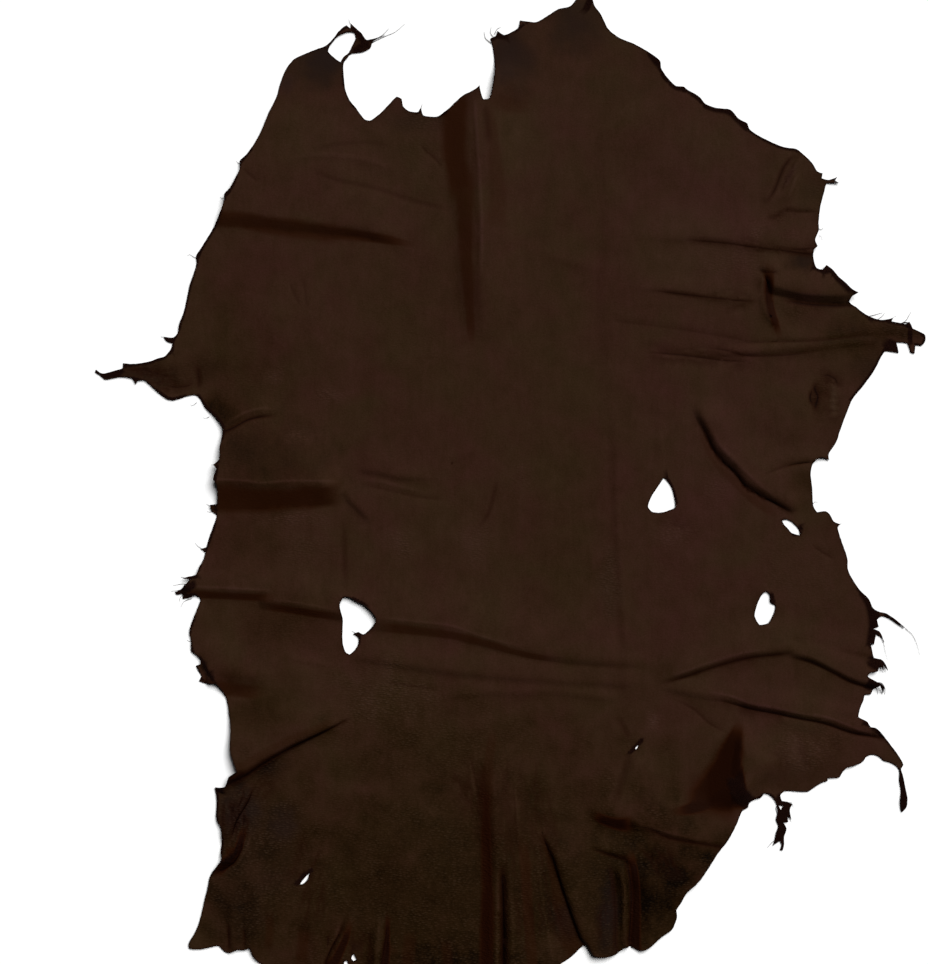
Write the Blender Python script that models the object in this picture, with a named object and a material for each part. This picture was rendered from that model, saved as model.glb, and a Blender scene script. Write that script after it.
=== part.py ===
"""A dark brown leather hide, laid out skin side up on a flat surface, in its own folds.

The hide lies in the XY plane, neck towards +Y and hind legs towards -Y, and rises along +Z where it
folds. Its underside is flat at Z = 0 wherever it touches. The tables below are in centimetres from
the middle of the back, with fold heights in millimetres; the mesh is in metres.
"""

from collections import namedtuple

import bmesh
import bpy
import numpy as np
from mathutils import Vector, noise
from mathutils.geometry import delaunay_2d_cdt, interpolate_bezier

CM = 0.01
MM_IN_CM = 0.1

SKIN_THICKNESS = 0.15
LEATHER_COLOUR = (0.036, 0.018, 0.010, 1.0)
LEATHER_ROUGHNESS = 0.58

EDGE_STEP = 1.6
FOLD_STEP = 2.6
FLAT_STEP = 5.2
ROWS_ON_FOLD = (1.0, 0.62, 0.28)
CREST_SHARPNESS = 3.0
FOLD_UNEVENNESS = 0.22
ROUND_END = 0.8
STEEPEST = 0.45

# The cut edge, counter-clockwise from the slit in the neck, one row for each stretch: (x, y).
EDGE = {
    "neck": [
        (-3.9, 47.5), (-4.6, 47.4), (-4.8, 47.9), (-5.1, 49.1), (-5.5, 48.7), (-7.1, 47.9),
        (-9.2, 46.1), (-10.4, 45.4), (-12.1, 45.6), (-12.4, 46.5), (-12.7, 46.0), (-13.9, 46.1),
        (-14.6, 46.7), (-14.8, 47.6), (-15.4, 47.9), (-16.4, 46.9), (-17.6, 45.7), (-18.8, 44.9),
        (-19.3, 45.0), (-20.6, 46.6), (-21.3, 47.5), (-21.8, 48.7), (-22.0, 50.2), (-22.0, 52.2),
    ],
    "left ear strap": [
        (-21.7, 52.6), (-21.2, 53.2), (-19.6, 53.5), (-18.7, 54.0), (-18.4, 54.8), (-16.9, 55.6),
        (-18.4, 55.1), (-19.2, 55.0), (-19.8, 55.8), (-20.7, 56.6), (-21.1, 57.0), (-21.2, 56.4),
        (-21.7, 56.8), (-22.5, 56.2), (-23.2, 55.3), (-24.2, 54.3), (-25.5, 53.8), (-27.2, 53.1),
        (-28.2, 52.6), (-29.2, 51.4), (-29.9, 49.7), (-30.4, 47.9), (-31.4, 45.8), (-32.5, 43.2),
    ],
    "left shoulder": [
        (-34.1, 40.7), (-35.0, 39.8), (-34.9, 39.2), (-35.7, 37.3), (-36.2, 36.4), (-36.9, 35.6),
        (-36.9, 35.0), (-38.1, 31.9), (-39.7, 29.2), (-40.5, 27.9), (-40.4, 27.2), (-41.3, 24.2),
        (-42.0, 21.0), (-42.6, 19.4), (-42.8, 18.3), (-43.3, 17.8), (-44.5, 17.9), (-44.2, 17.4),
        (-43.4, 17.1), (-43.6, 16.4), (-44.5, 15.4), (-45.3, 15.2),
    ],
    "left foreleg": [
        (-46.0, 14.9), (-48.3, 14.5), (-49.6, 14.6), (-49.6, 14.0), (-51.2, 13.5), (-52.2, 13.3),
        (-53.0, 13.8), (-53.1, 13.5), (-52.5, 13.1), (-51.9, 12.6), (-49.8, 12.9), (-48.4, 12.7),
        (-48.0, 12.0), (-47.7, 12.4), (-47.0, 12.5), (-45.2, 11.0), (-44.0, 10.1), (-43.2, 10.0),
        (-41.5, 10.5), (-40.5, 10.6), (-39.9, 10.1), (-39.4, 9.2), (-38.2, 8.0), (-37.2, 6.8),
    ],
    "left flank": [
        (-37.1, 5.8), (-37.4, 4.2), (-37.5, 2.5), (-38.2, 1.9), (-37.8, 1.4), (-38.2, 0.1),
        (-37.8, -0.5), (-37.9, -3.0), (-38.7, -3.1), (-38.5, -3.8), (-37.9, -4.4), (-38.4, -6.0),
        (-38.9, -7.4), (-39.2, -8.4), (-39.9, -8.6), (-39.3, -9.0), (-39.5, -9.9), (-40.1, -11.0),
        (-40.4, -11.8),
    ],
    "left flank tatters": [
        (-41.5, -12.1), (-42.1, -12.3), (-41.1, -12.4), (-41.6, -12.9), (-42.3, -13.6),
        (-43.1, -14.0), (-42.9, -14.3), (-42.1, -14.2), (-42.1, -14.8), (-41.2, -14.6),
        (-40.4, -14.3),
    ],
    "left haunch": [
        (-39.9, -14.8), (-40.4, -16.3), (-40.7, -17.0), (-41.3, -19.1), (-41.1, -19.9),
        (-41.0, -21.4), (-40.4, -21.8), (-39.8, -22.4), (-39.8, -22.9), (-40.5, -23.2),
        (-40.2, -23.8), (-39.8, -24.5), (-40.1, -25.1), (-39.3, -25.4), (-38.0, -25.4),
        (-37.3, -26.1), (-36.7, -27.2), (-36.3, -29.1), (-36.1, -31.0), (-36.1, -33.8),
        (-35.6, -35.4), (-35.3, -36.3),
    ],
    "left hind leg": [
        (-36.3, -37.0), (-36.6, -37.8), (-36.9, -38.3), (-38.1, -38.4), (-37.9, -39.6),
        (-37.8, -42.5), (-37.3, -43.4), (-37.2, -45.0), (-37.3, -46.7), (-37.2, -47.2),
        (-38.0, -48.4), (-38.7, -49.4), (-39.0, -50.9), (-39.4, -52.5), (-40.0, -55.0),
        (-40.6, -56.5), (-41.4, -58.0), (-41.3, -58.5),
    ],
    "rump": [
        (-39.9, -58.6), (-38.9, -58.4), (-37.6, -58.2), (-36.9, -58.9), (-36.3, -59.1),
        (-35.2, -58.6), (-34.5, -58.7), (-33.7, -58.4), (-33.3, -59.4), (-32.6, -60.2),
        (-30.6, -61.2), (-27.0, -61.7), (-22.5, -61.9), (-17.0, -62.2), (-11.0, -62.4),
        (-6.0, -62.7), (-3.4, -62.9), (-1.8, -62.4), (1.0, -62.0), (3.4, -61.4), (5.1, -60.4),
    ],
    "right haunch": [
        (6.2, -59.7), (7.1, -58.9), (7.7, -58.3), (8.4, -58.0), (8.9, -58.8), (9.2, -59.3),
        (10.4, -59.5), (11.8, -59.2), (12.7, -58.6), (13.6, -58.2), (14.6, -58.6), (15.3, -58.8),
        (16.1, -58.4), (17.6, -57.1), (19.0, -56.1), (19.3, -55.5), (19.6, -54.4), (19.5, -53.7),
        (20.1, -52.7), (20.7, -51.6), (22.1, -50.3), (23.1, -49.0), (24.6, -46.7), (25.9, -44.9),
        (27.0, -43.0), (27.8, -41.3), (28.5, -40.9), (28.6, -40.3), (29.3, -39.8), (30.0, -39.7),
        (30.5, -39.1), (31.0, -39.2), (31.6, -39.7),
    ],
    "twisted scrap": [
        (32.0, -40.3), (32.2, -41.6), (32.0, -42.4), (32.3, -43.2), (32.0, -44.1), (31.8, -45.0),
        (31.6, -45.7), (32.0, -45.4), (32.5, -45.1), (32.7, -45.6), (32.5, -46.2), (32.8, -46.3),
        (33.0, -45.5), (33.0, -44.6), (33.3, -43.5), (32.9, -42.8), (33.5, -42.7), (33.4, -41.9),
        (33.9, -42.4), (33.7, -41.2), (34.0, -40.5), (33.4, -40.2), (32.7, -40.1), (32.5, -39.4),
        (33.0, -38.9),
    ],
    "right hind leg": [
        (34.9, -38.9), (36.0, -38.9), (36.6, -38.5), (37.9, -37.7), (38.4, -37.6), (38.4, -37.2),
        (39.9, -37.1), (40.3, -36.4), (40.8, -35.9), (41.7, -35.7), (42.9, -35.1), (43.2, -34.6),
        (44.0, -34.3), (44.8, -34.5), (45.5, -35.1), (46.3, -35.3), (47.1, -35.8),
    ],
    "leaf-shaped scrap": [
        (47.4, -36.3), (47.4, -37.6), (47.6, -38.7), (47.5, -40.3), (47.7, -41.5), (48.2, -41.0),
        (48.4, -39.9), (48.1, -38.2), (47.8, -36.8), (47.6, -36.1),
    ],
    "right hock": [
        (47.9, -35.6), (47.8, -35.3), (47.2, -34.3), (46.3, -33.1), (45.3, -31.8), (44.3, -30.9),
        (43.7, -30.8), (43.3, -30.2), (42.2, -29.6),
    ],
    "right flank tatters": [
        (42.3, -29.0), (42.9, -27.5), (43.1, -26.8), (43.8, -26.8), (44.2, -26.0), (44.9, -25.6),
        (45.4, -26.6), (45.4, -25.7), (44.1, -25.0), (43.3, -24.5), (43.5, -24.1), (44.6, -23.9),
        (44.9, -23.0), (45.3, -23.8), (45.3, -23.1), (45.9, -23.8), (45.5, -22.8), (45.0, -22.4),
        (44.2, -22.2), (43.8, -20.4), (44.2, -20.6), (44.5, -19.3), (45.1, -19.6), (45.5, -20.3),
        (44.9, -18.9), (44.1, -18.6), (44.8, -18.3), (44.6, -17.4), (45.2, -17.0),
    ],
    "right flank string": [
        (46.2, -17.3), (47.1, -17.9), (48.0, -18.5), (47.2, -17.7), (46.3, -17.0), (45.6, -16.6),
    ],
    "right flank": [
        (45.0, -16.5), (44.1, -16.0), (43.6, -14.9), (42.5, -13.8), (41.6, -12.5), (41.0, -11.3),
        (40.9, -9.8), (40.3, -8.0), (39.7, -5.8), (40.0, -5.5), (39.2, -5.2), (38.7, -4.3),
        (38.2, -3.9), (37.1, -4.0), (36.7, -3.4), (36.5, -1.0), (36.3, 1.2), (36.9, 2.5),
        (37.6, 2.8), (38.6, 2.5), (38.5, 3.1), (39.5, 4.7), (40.0, 6.2), (40.7, 8.1),
        (41.6, 10.2), (42.9, 11.8), (44.2, 13.6), (45.2, 15.5),
    ],
    "right foreleg": [
        (45.6, 16.1), (47.3, 15.9), (47.2, 16.5), (47.0, 17.2), (48.4, 17.1), (48.7, 16.4),
        (48.8, 16.0), (49.3, 15.8), (49.4, 16.9), (50.2, 16.8), (50.6, 17.3), (50.6, 18.1),
        (49.6, 18.7), (49.0, 18.9), (48.8, 19.4), (48.0, 19.5), (46.4, 19.8), (46.6, 20.2),
        (45.6, 20.0), (44.9, 20.0), (43.5, 20.5), (42.2, 21.4), (41.1, 22.3), (41.4, 23.0),
        (42.1, 23.4), (41.3, 23.8), (40.5, 24.6), (39.6, 25.4), (38.9, 26.3), (38.2, 26.8),
        (37.7, 26.2), (37.0, 26.4), (36.7, 27.3),
    ],
    "right shoulder": [
        (36.7, 28.8), (37.1, 29.2), (36.8, 29.9), (37.3, 31.2), (37.3, 32.0), (37.5, 34.0),
        (38.0, 36.0), (38.3, 37.1), (39.8, 37.1), (39.3, 37.4), (39.6, 37.8), (38.6, 37.5),
        (37.7, 37.7), (37.8, 38.3), (37.2, 38.5), (36.5, 39.6), (35.1, 40.9), (34.5, 41.3),
        (33.0, 41.6), (31.0, 42.4), (28.6, 43.9), (28.4, 44.5), (27.3, 45.1), (26.3, 46.2),
        (24.3, 46.5), (23.2, 46.9), (22.3, 47.9), (20.8, 48.8), (20.5, 49.1), (19.5, 49.2),
        (18.4, 50.3), (17.6, 51.5), (17.5, 52.3), (16.1, 53.4), (14.2, 54.5), (12.3, 55.3),
        (11.0, 56.4), (10.1, 58.2), (9.3, 59.3), (9.0, 60.3),
    ],
    "head": [
        (8.2, 61.6), (7.1, 60.2), (6.3, 59.2), (4.8, 58.8), (3.6, 58.1), (2.0, 57.2), (0.8, 57.3),
        (0.0, 57.4), (-0.2, 56.5), (-1.1, 55.9), (-2.0, 55.6), (-2.8, 56.1), (-3.0, 55.5),
        (-3.7, 55.2), (-3.4, 54.2), (-3.2, 52.8), (-3.1, 51.6), (-3.4, 49.3), (-3.6, 48.3),
    ],
}

# The holes torn through the skin: (x, y).
HOLES = {
    "strap loop": [
        (-24.0, 53.6), (-23.9, 54.0), (-23.4, 54.7), (-22.9, 55.3), (-22.3, 55.7), (-21.4, 56.0),
        (-20.7, 55.9), (-20.5, 55.3), (-20.9, 54.4), (-21.4, 53.4), (-22.1, 52.8), (-22.4, 52.2),
        (-22.9, 52.5), (-23.5, 53.0),
    ],
    "left haunch": [
        (-22.0, -14.6), (-22.5, -15.5), (-22.4, -16.3), (-22.2, -17.0), (-22.1, -20.7),
        (-21.7, -21.6), (-21.3, -21.8), (-20.6, -21.2), (-20.2, -20.5), (-20.2, -19.6),
        (-20.8, -19.2), (-20.2, -19.0), (-19.6, -19.3), (-18.8, -18.7), (-18.1, -17.8),
        (-18.0, -17.3), (-18.6, -16.4), (-19.2, -15.8), (-20.5, -15.1), (-21.5, -14.6),
    ],
    "right side": [
        (18.0, 0.3), (17.1, -1.0), (16.3, -2.3), (16.0, -3.4), (16.4, -3.9), (17.3, -4.1),
        (18.6, -3.8), (19.4, -3.4), (19.4, -2.6), (18.8, -0.6),
    ],
    "right flank": [
        (32.7, -5.1), (33.0, -5.6), (33.4, -6.0), (33.9, -6.6), (35.0, -6.9), (34.9, -6.2),
        (34.5, -5.7), (33.8, -5.1), (33.1, -4.9),
    ],
    "right haunch": [
        (30.8, -13.9), (30.3, -14.2), (29.9, -14.9), (29.4, -16.3), (29.3, -17.0), (29.9, -18.1),
        (31.0, -17.9), (31.8, -16.4), (31.9, -15.6), (31.3, -15.3), (31.2, -14.3),
    ],
    "left leg slit": [(-26.3, -49.1), (-27.0, -49.8), (-27.5, -50.5), (-27.2, -50.5), (-26.5, -49.8)],
    "rump nick": [(-21.0, -59.4), (-21.1, -59.8), (-20.8, -60.1), (-20.4, -59.9), (-20.7, -59.2)],
    "rump nick below": [(-22.0, -60.1), (-22.0, -60.6), (-21.4, -60.6), (-21.6, -60.0)],
    "tear": [(14.3, -33.6), (14.4, -33.8), (14.9, -33.2), (15.0, -32.8)],
}

# Each fold is a ridge along its crest (x, y). On the left of its run it eases down over WIDE cm and on
# its right it drops over STEEP cm, or over a pair that changes along the run. CRISP is 0 for a rounded
# drop and 1 for a straight one. It fades in and out over FADE_IN and FADE_OUT cm of its run.
Fold = namedtuple("Fold", "name height wide steep crisp fade_in fade_out crest")
FOLDS = [
    Fold("shoulder roll", 8, 10.0, (2.1, 1.0), 0.65, 0, 4.5,
         [(-39, 33.7), (-37.2, 33.4), (-33, 33.2), (-28.7, 32.5), (-26.0, 32.3), (-23.9, 31.8), (-20.6, 31.6),
          (-18.2, 31.0), (-14.0, 29.9)]),
    Fold("neck pleat", 12, 6.0, (5.0, 2.8), 0.5, 0, 10,
         [(-5.4, 50), (-5.5, 46), (-5.1, 41), (-5.2, 36), (-4.8, 31), (-5.0, 26), (-4.8, 21), (-5.3, 16)]),
    Fold("flank roll", 14, 11.0, (3.9, 2.4), 0.95, 0, 3.0,
         [(-39, -0.1), (-36, -0.2), (-32, -0.4), (-27, -0.5), (-24, -0.6), (-21.6, -0.6)]),
    Fold("flank roll, end", 4, 3.0, 0.8, 0.4, 1.0, 2.5,
         [(-22.6, -0.8), (-21.7, -1.7), (-20.7, -2.8), (-19.6, -3.8), (-18.2, -5.6)]),
    Fold("flank crease", 3.0, 3.0, 0.8, 0.5, 1.5, 5,
         [(-20.6, 1.5), (-17.6, 1.2), (-15.3, 0.6), (-13, 0.5), (-9.6, 0.4)]),
    Fold("tatter roll", 6.5, 5.5, 1.3, 0.7, 0, 2.0,
         [(-41.5, -13.5), (-39, -13.6), (-35.4, -13.7), (-32.2, -13.9), (-30.0, -14.1)]),
    Fold("haunch roll left of the hole", 7, 5.5, 1.25, 0.7, 1.5, 0,
         [(-33, -14.9), (-30, -15.2), (-27.1, -15.7), (-24.6, -16.1), (-21.5, -16.6)]),
    Fold("haunch roll right of the hole", 6, 6.5, (1.8, 1.2), 0.6, 0, 8,
         [(-19.0, -17.2), (-14.7, -17.6), (-11.2, -18.0), (-8.3, -18.5), (-4.5, -19.6), (0, -20.9),
          (5, -21.9), (11, -22.5), (18, -22.7)]),
    Fold("haunch ripple", 3.4, 3.4, 1.1, 0.5, 3, 5,
         [(-21.4, -21.9), (-18.2, -22.2), (-15, -22.7), (-11.2, -23.3), (-8, -23.7), (-4, -24.2),
          (2, -24.7), (8, -25.1), (16.5, -25.1)]),
    Fold("haunch ripple, lower", 1.8, 2.4, 0.7, 0.4, 3, 4,
         [(-10.2, -27.0), (-7.4, -26.8), (-3.9, -26.5), (-0.4, -26.5), (4, -26.4),
          (9, -26.9), (13.4, -27.4)]),
    Fold("haunch overlap", 13, 9.0, (2.4, 0.9), 0.5, 0, 6,
         [(-37.5, -37.6), (-35.3, -36.6), (-32.9, -35.0), (-29.9, -33.3), (-26.8, -31.8), (-23.8, -30.6),
          (-20.6, -29.6)]),
    Fold("haunch dip", 8, 6.5, (3.2, 2.0), 0.8, 0, 5,
         [(-38.5, -24.2), (-36, -24.2), (-33.2, -24.2), (-30.0, -23.8)]),
    Fold("hind leg crumple, upper", 5.5, 2.4, 0.7, 0.3, 2, 2,
         [(-36.4, -46), (-36.3, -44.3), (-35.7, -42.5), (-34.5, -40.4), (-33.3, -38.0)]),
    Fold("hind leg crumple, lower", 6, 2.0, 0.9, 0.3, 0, 2,
         [(-39.2, -49.2), (-37.6, -48.4), (-36.0, -47.4), (-35.1, -45.8), (-35.3, -43.7)]),
    Fold("left armpit", 4, 2.6, 0.8, 0.3, 0, 4,
         [(-38.4, 5.6), (-36.7, 6.6), (-34.2, 8.0), (-32.5, 8.4), (-30.5, 8.5), (-28.6, 8.3)]),
    Fold("right shoulder pinch", 2.2, 1.0, 0.7, 0.3, 1.0, 1.0,
         [(30.2, 34.6), (31.4, 35.8), (32.1, 37.7), (33.2, 39.6), (34.8, 40.9), (35.8, 41.4)]),
    Fold("right shoulder pinch, inner", 2.2, 1.4, 0.8, 0.2, 1.5, 1.5,
         [(35.0, 38.4), (34.2, 37.2), (33.4, 36.0), (32.3, 34.7)]),
    Fold("right shoulder crease", 1.2, 1.2, 0.4, 0.5, 0.8, 1.5,
         [(32.9, 34.0), (34.0, 34.0), (35.8, 33.9), (37.5, 33.8)]),
    Fold("right shoulder ripple", 3.4, 4.2, 0.9, 0.4, 12, 0,
         [(13, 31.0), (18, 30.4), (24.9, 30.0), (28.8, 29.4), (32.6, 28.9), (38, 28.3)]),
    Fold("right arm ripple", 2.6, 2.6, 0.7, 0.4, 9, 2,
         [(12, 24.4), (15, 24.1), (19.8, 23.6), (25.2, 22.7), (28.0, 22.5), (30.5, 22.6)]),
    Fold("right armpit", 3.0, 1.4, 0.5, 0.3, 1.0, 1.5,
         [(30.3, 26.0), (30.2, 24.6), (30.2, 22.8), (30.7, 21.0), (31.6, 19.8), (32.4, 18.4)]),
    Fold("right foreleg overlap", 10, 4.6, 1.5, 0.7, 0, 0,
         [(31.5, 24.3), (33.4, 23.9), (35.4, 23.5), (38, 23.3), (40.0, 23.2), (42.5, 23.2)]),
    Fold("right foreleg roll", 2.4, 2.4, 1.0, 0.2, 5, 0,
         [(30, 18.0), (33, 17.8), (36, 17.6), (41, 18.2), (46, 18.8), (49, 18.6)]),
    Fold("right arm roll", 2.8, 0.9, 0.8, 0.1, 6, 2,
         [(20, 16.2), (25, 16.0), (29, 16.2), (33, 16.6), (37, 16.8), (41, 17.2), (45, 17.6)]),
    Fold("right flank diagonal", 8, 5.5, 1.3, 0.5, 3.0, 1.5,
         [(21.6, 9.9), (22.6, 8.5), (23.7, 6.5), (24.6, 4.6), (25.9, 3.1), (27.2, 1.8), (28.5, 0.1),
          (30.1, -0.9), (32.1, -2.1), (34.9, -3.8)]),
    Fold("right flank spur", 3.2, 1.8, 0.6, 0.3, 1.5, 0,
         [(29.9, 0.7), (31.2, 1.5), (32.8, 2.2), (34.6, 2.5), (37.5, 2.6)]),
    Fold("right flank spur, lower", 4, 1.2, (1.0, 3.4), 0.6, 1.5, 0,
         [(30.6, -0.2), (31.9, 0.6), (33.6, 1.1), (37.5, 1.1)]),
    Fold("right haunch crease", 2.6, 2.2, 0.6, 0.4, 1.5, 0,
         [(30.0, -18.1), (31.9, -18.8), (33.5, -19.5), (37.3, -20.0), (40.5, -21.1), (44.5, -22.0)]),
    Fold("right haunch arc", 6.5, 4.5, 1.3, 0.6, 5, 1.5,
         [(16.4, -25.4), (18.0, -24.8), (20.4, -23.9), (23.6, -22.8), (28.4, -21.5), (31.9, -21.1),
          (35.1, -20.7)]),
    Fold("right haunch branch", 6.5, 3.4, 1.1, 0.5, 2, 0,
         [(33.2, -21.3), (36.3, -22.0), (38.9, -23.2), (41.4, -24.5), (44.0, -25.3), (46, -26.0)]),
    Fold("right haunch ripple", 3.4, 2.4, 0.9, 0.3, 3, 0,
         [(17.2, -25.6), (20.4, -26.2), (22.9, -26.7), (26.1, -27.1), (28.4, -27.7)]),
    Fold("right hock roll", 6.5, 2.6, 1.1, 0.5, 3, 0,
         [(26, -27.0), (28.7, -27.8), (31.9, -28.4), (35.1, -29.1), (38.2, -29.7), (41.4, -30.8),
          (44.0, -31.3), (46, -31.4)]),
    Fold("right hock roll, upper", 3, 1.4, 0.6, 0.3, 2, 0,
         [(32.6, -27.8), (36.3, -28.1), (39.5, -28.7), (42.6, -29.3)]),
    Fold("right hind leg over the hollow", 15, 9.0, (1.0, 6.0), 1.0, 3.5, 2.5,
         [(28.2, -29.8), (27.8, -31.6), (27.3, -34.0), (27.3, -36.2), (27.8, -38.2), (28.8, -40.6)]),
    Fold("under the tear", 3, 3.2, 1.3, 0.3, 2, 3,
         [(15.0, -33.6), (14.4, -35.6), (13.9, -38.0), (13.6, -40.4)]),
    Fold("rump swag", 6, 6.0, 1.5, 0.5, 2.5, 0,
         [(8.2, -40.0), (9.6, -41.4), (11.1, -42.0), (12.8, -42.3), (14.6, -42.6), (16.8, -43.2),
          (19.0, -43.9), (21.6, -44.4), (25.4, -45.2)]),
    Fold("rump swag, lower", 3.5, 1.8, 0.8, 0.3, 1.5, 1.5,
         [(8.4, -45.4), (10.5, -46.1), (11.9, -46.5), (13.2, -47.0), (14.2, -48.4)]),
    Fold("rump drape at the spine", 9, 8.0, (2.8, 1.8), 0.5, 14, 0,
         [(-3.9, -31), (-3.3, -36), (-3.3, -41), (-2.9, -46), (-2.8, -50), (-3.1, -56), (-3.0, -64)]),
    Fold("rump pleat 3", 3.5, 1.8, 1.6, 0.2, 5, 0,
         [(0.4, -47), (1.1, -51.6), (2.0, -54.6), (2.9, -57.6), (3.8, -61.5)]),
    Fold("rump overlap", 9, 6.5, 1.2, 0.5, 6, 0,
         [(2.0, -42.2), (3.2, -44.8), (4.4, -46.8), (5.2, -49.2), (6.0, -51.4), (6.9, -54.0), (7.8, -56.4),
          (9.2, -59.8)]),
    Fold("haunch pleat 1", 4, 2.0, 1.8, 0.2, 3, 0,
         [(9.4, -48), (9.6, -51), (9.9, -55), (10.1, -61)]),
    Fold("haunch pleat 2", 8, 0.8, 1.0, 0.3, 1.5, 0,
         [(12.5, -47.8), (12.9, -50.7), (13.1, -53.0), (13.2, -57.9), (13.2, -60)]),
    Fold("haunch pleat 3", 5, 5.0, 1.9, 0.6, 3.5, 0,
         [(14.4, -47.6), (15.4, -49.6), (16.0, -52), (15.9, -55), (15.6, -60)]),
    Fold("rump gather 1", 6.5, 1.8, 1.0, 0.5, 3, 0,
         [(-20.9, -53.2), (-21.4, -55.2), (-22.3, -57.2), (-23.5, -59.2), (-24.0, -60.4), (-24.2, -63)]),
    Fold("rump gather 2", 7, 1.6, 1.0, 0.5, 0, 3,
         [(-17.9, -63.5), (-17.9, -60.4), (-17.6, -58.6), (-17.4, -56.7), (-17.0, -54.0)]),
    Fold("left leg drape 1", 4, 2.8, 2.4, 0.0, 5, 0,
         [(-24.4, -46), (-24.8, -49.6), (-25.2, -53.5), (-25.9, -57), (-26.6, -62.5)]),
    Fold("left leg drape 2", 3, 1.8, 1.6, 0.0, 3, 0,
         [(-32.4, -49.5), (-33.0, -53), (-33.3, -56), (-33.2, -60.5)]),
    Fold("left leg drape 3", 2.6, 1.6, 1.0, 0.2, 3, 0,
         [(-35.6, -51.6), (-35.8, -55), (-35.6, -60)]),
    Fold("back nick", 1.0, 1.6, 0.5, 0.4, 1.5, 3,
         [(2.0, 28.6), (3.9, 28.0), (5.8, 27.2), (8.0, 26.7), (10.3, 26.2)]),
]

# Places where the skin stands a little off the surface over a wide area.
Swell = namedtuple("Swell", "name height x y reach_x reach_y")
SWELLS = [
    Swell("left shoulder", 5, -27, 41, 9, 8),
    Swell("left ribs", 4, -29, 19, 10, 8),
    Swell("right shoulder", 5, 20, 43, 11, 8),
    Swell("right ribs", 4, 33, 8, 7, 6),
    Swell("left haunch", 6, -29, -24, 9, 5),
    Swell("left hind leg", 7, -33, -53, 8, 8),
    Swell("rump", 6, -13, -48, 10, 12),
    Swell("right haunch", 7, 21, -49, 7, 7),
    Swell("right hind leg", 8, 35, -34, 9, 5),
]


def curve_through(knots, step, closed=False):
    """Points about STEP apart on a curve through the knots. It is smooth, but turns sharp where they do."""
    knots = [Vector(knot) for knot in knots]
    count = len(knots)
    spans = count if closed else count - 1
    handles = []
    for i, knot in enumerate(knots):
        before = knot - knots[i - 1]
        after = knots[(i + 1) % count] - knot
        on_end = not closed and i in (0, count - 1)
        bend = 1.0 if on_end else max(0.0, before.normalized().dot(after.normalized()))
        along = (after if i == 0 else before) if on_end else before.normalized() + after.normalized()
        handles.append(along.normalized() * bend / 3 if along.length > 1e-6 else Vector((0, 0)))
    points = []
    for i in range(spans):
        start, end = knots[i], knots[(i + 1) % count]
        length = (end - start).length
        pieces = max(1, round(length / step))
        reach = [handles[i] * length, handles[(i + 1) % count] * length]
        points += interpolate_bezier(start, start + reach[0], end - reach[1], end, pieces + 1)[:-1]
    if not closed:
        points.append(knots[-1])
    return np.array([(point.x, point.y) for point in points])


def fall(distance, reach):
    """1 at the crest, easing to 0 at REACH from it."""
    share = np.clip(distance / reach, 0, 1)
    return (1 - share**2) ** 2


def along_run(size, share):
    """A size at each share of a run, where it is one number or a pair for the two ends."""
    return np.interp(share, (0, 1), np.broadcast_to(size, 2))


def fold_rise(fold, points):
    """How far one fold lifts each point, in cm."""
    crest = curve_through(fold.crest, 1.0)
    start, span = crest[:-1], np.diff(crest, axis=0)
    length = np.linalg.norm(span, axis=1)
    offset = points[:, None, :] - start[None, :, :]
    share = np.clip((offset * span).sum(axis=2) / length**2, 0, 1)
    away = offset - share[:, :, None] * span
    distance = np.linalg.norm(away, axis=2)
    nearest = distance.argmin(axis=1)
    rows = np.arange(len(points))
    ends = np.concatenate([[0], np.cumsum(length)])
    run = ends[nearest] + share[rows, nearest] * length[nearest]
    distance = distance[rows, nearest]
    side = span[nearest, 0] * away[rows, nearest, 1] - span[nearest, 1] * away[rows, nearest, 0]
    drop = np.clip(distance / along_run(fold.steep, run / ends[-1]), 0, 1)
    drop = (1 - fold.crisp) * fall(drop, 1) + fold.crisp * (1 - drop)
    rise = fold.height * MM_IN_CM * np.where(side > 0, fall(distance, fold.wide), drop)
    past_start = -(offset[:, 0] * span[0]).sum(axis=1) / length[0]
    past_end = ((points - crest[-1]) * span[-1]).sum(axis=1) / length[-1]
    past = np.maximum(np.maximum(past_start, past_end), 0)
    beside = np.sqrt(np.maximum(distance**2 - past**2, 0))
    at_end = (run <= 0) | (run >= ends[-1])
    spare = np.where(side > 0, beside, 0)
    rise *= np.where(at_end, fall(past, ROUND_END + spare), 1)
    if fold.fade_in:
        rise *= fall(fold.fade_in + spare - run, fold.fade_in + spare)
    if fold.fade_out:
        rise *= fall(fold.fade_out + spare - (ends[-1] - run), fold.fade_out + spare)
    uneven = [noise.noise(Vector((x * 0.21, y * 0.21, fold.height))) for x, y in crest]
    return rise * (1 + FOLD_UNEVENNESS * np.interp(run, ends, uneven))


def skin_height(points):
    """The underside's height over the surface at each point, in cm: 0 where the skin lies flat."""
    total = sum(fold_rise(fold, points) ** CREST_SHARPNESS for fold in FOLDS)
    height = total ** (1 / CREST_SHARPNESS)
    for swell in SWELLS:
        away = (points - (swell.x, swell.y)) / (swell.reach_x, swell.reach_y)
        height += swell.height * MM_IN_CM * fall(np.linalg.norm(away, axis=1), 1)
    return height


def inside(points, ring):
    """Whether each point lies inside the ring, by the even-odd rule."""
    found = np.zeros(len(points), bool)
    for (x0, y0), (x1, y1) in zip(ring, np.roll(ring, -1, axis=0)):
        if y0 == y1:
            continue
        level = (points[:, 1] > y0) != (points[:, 1] > y1)
        found ^= level & (points[:, 0] < x0 + (points[:, 1] - y0) * (x1 - x0) / (y1 - y0))
    return found


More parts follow.
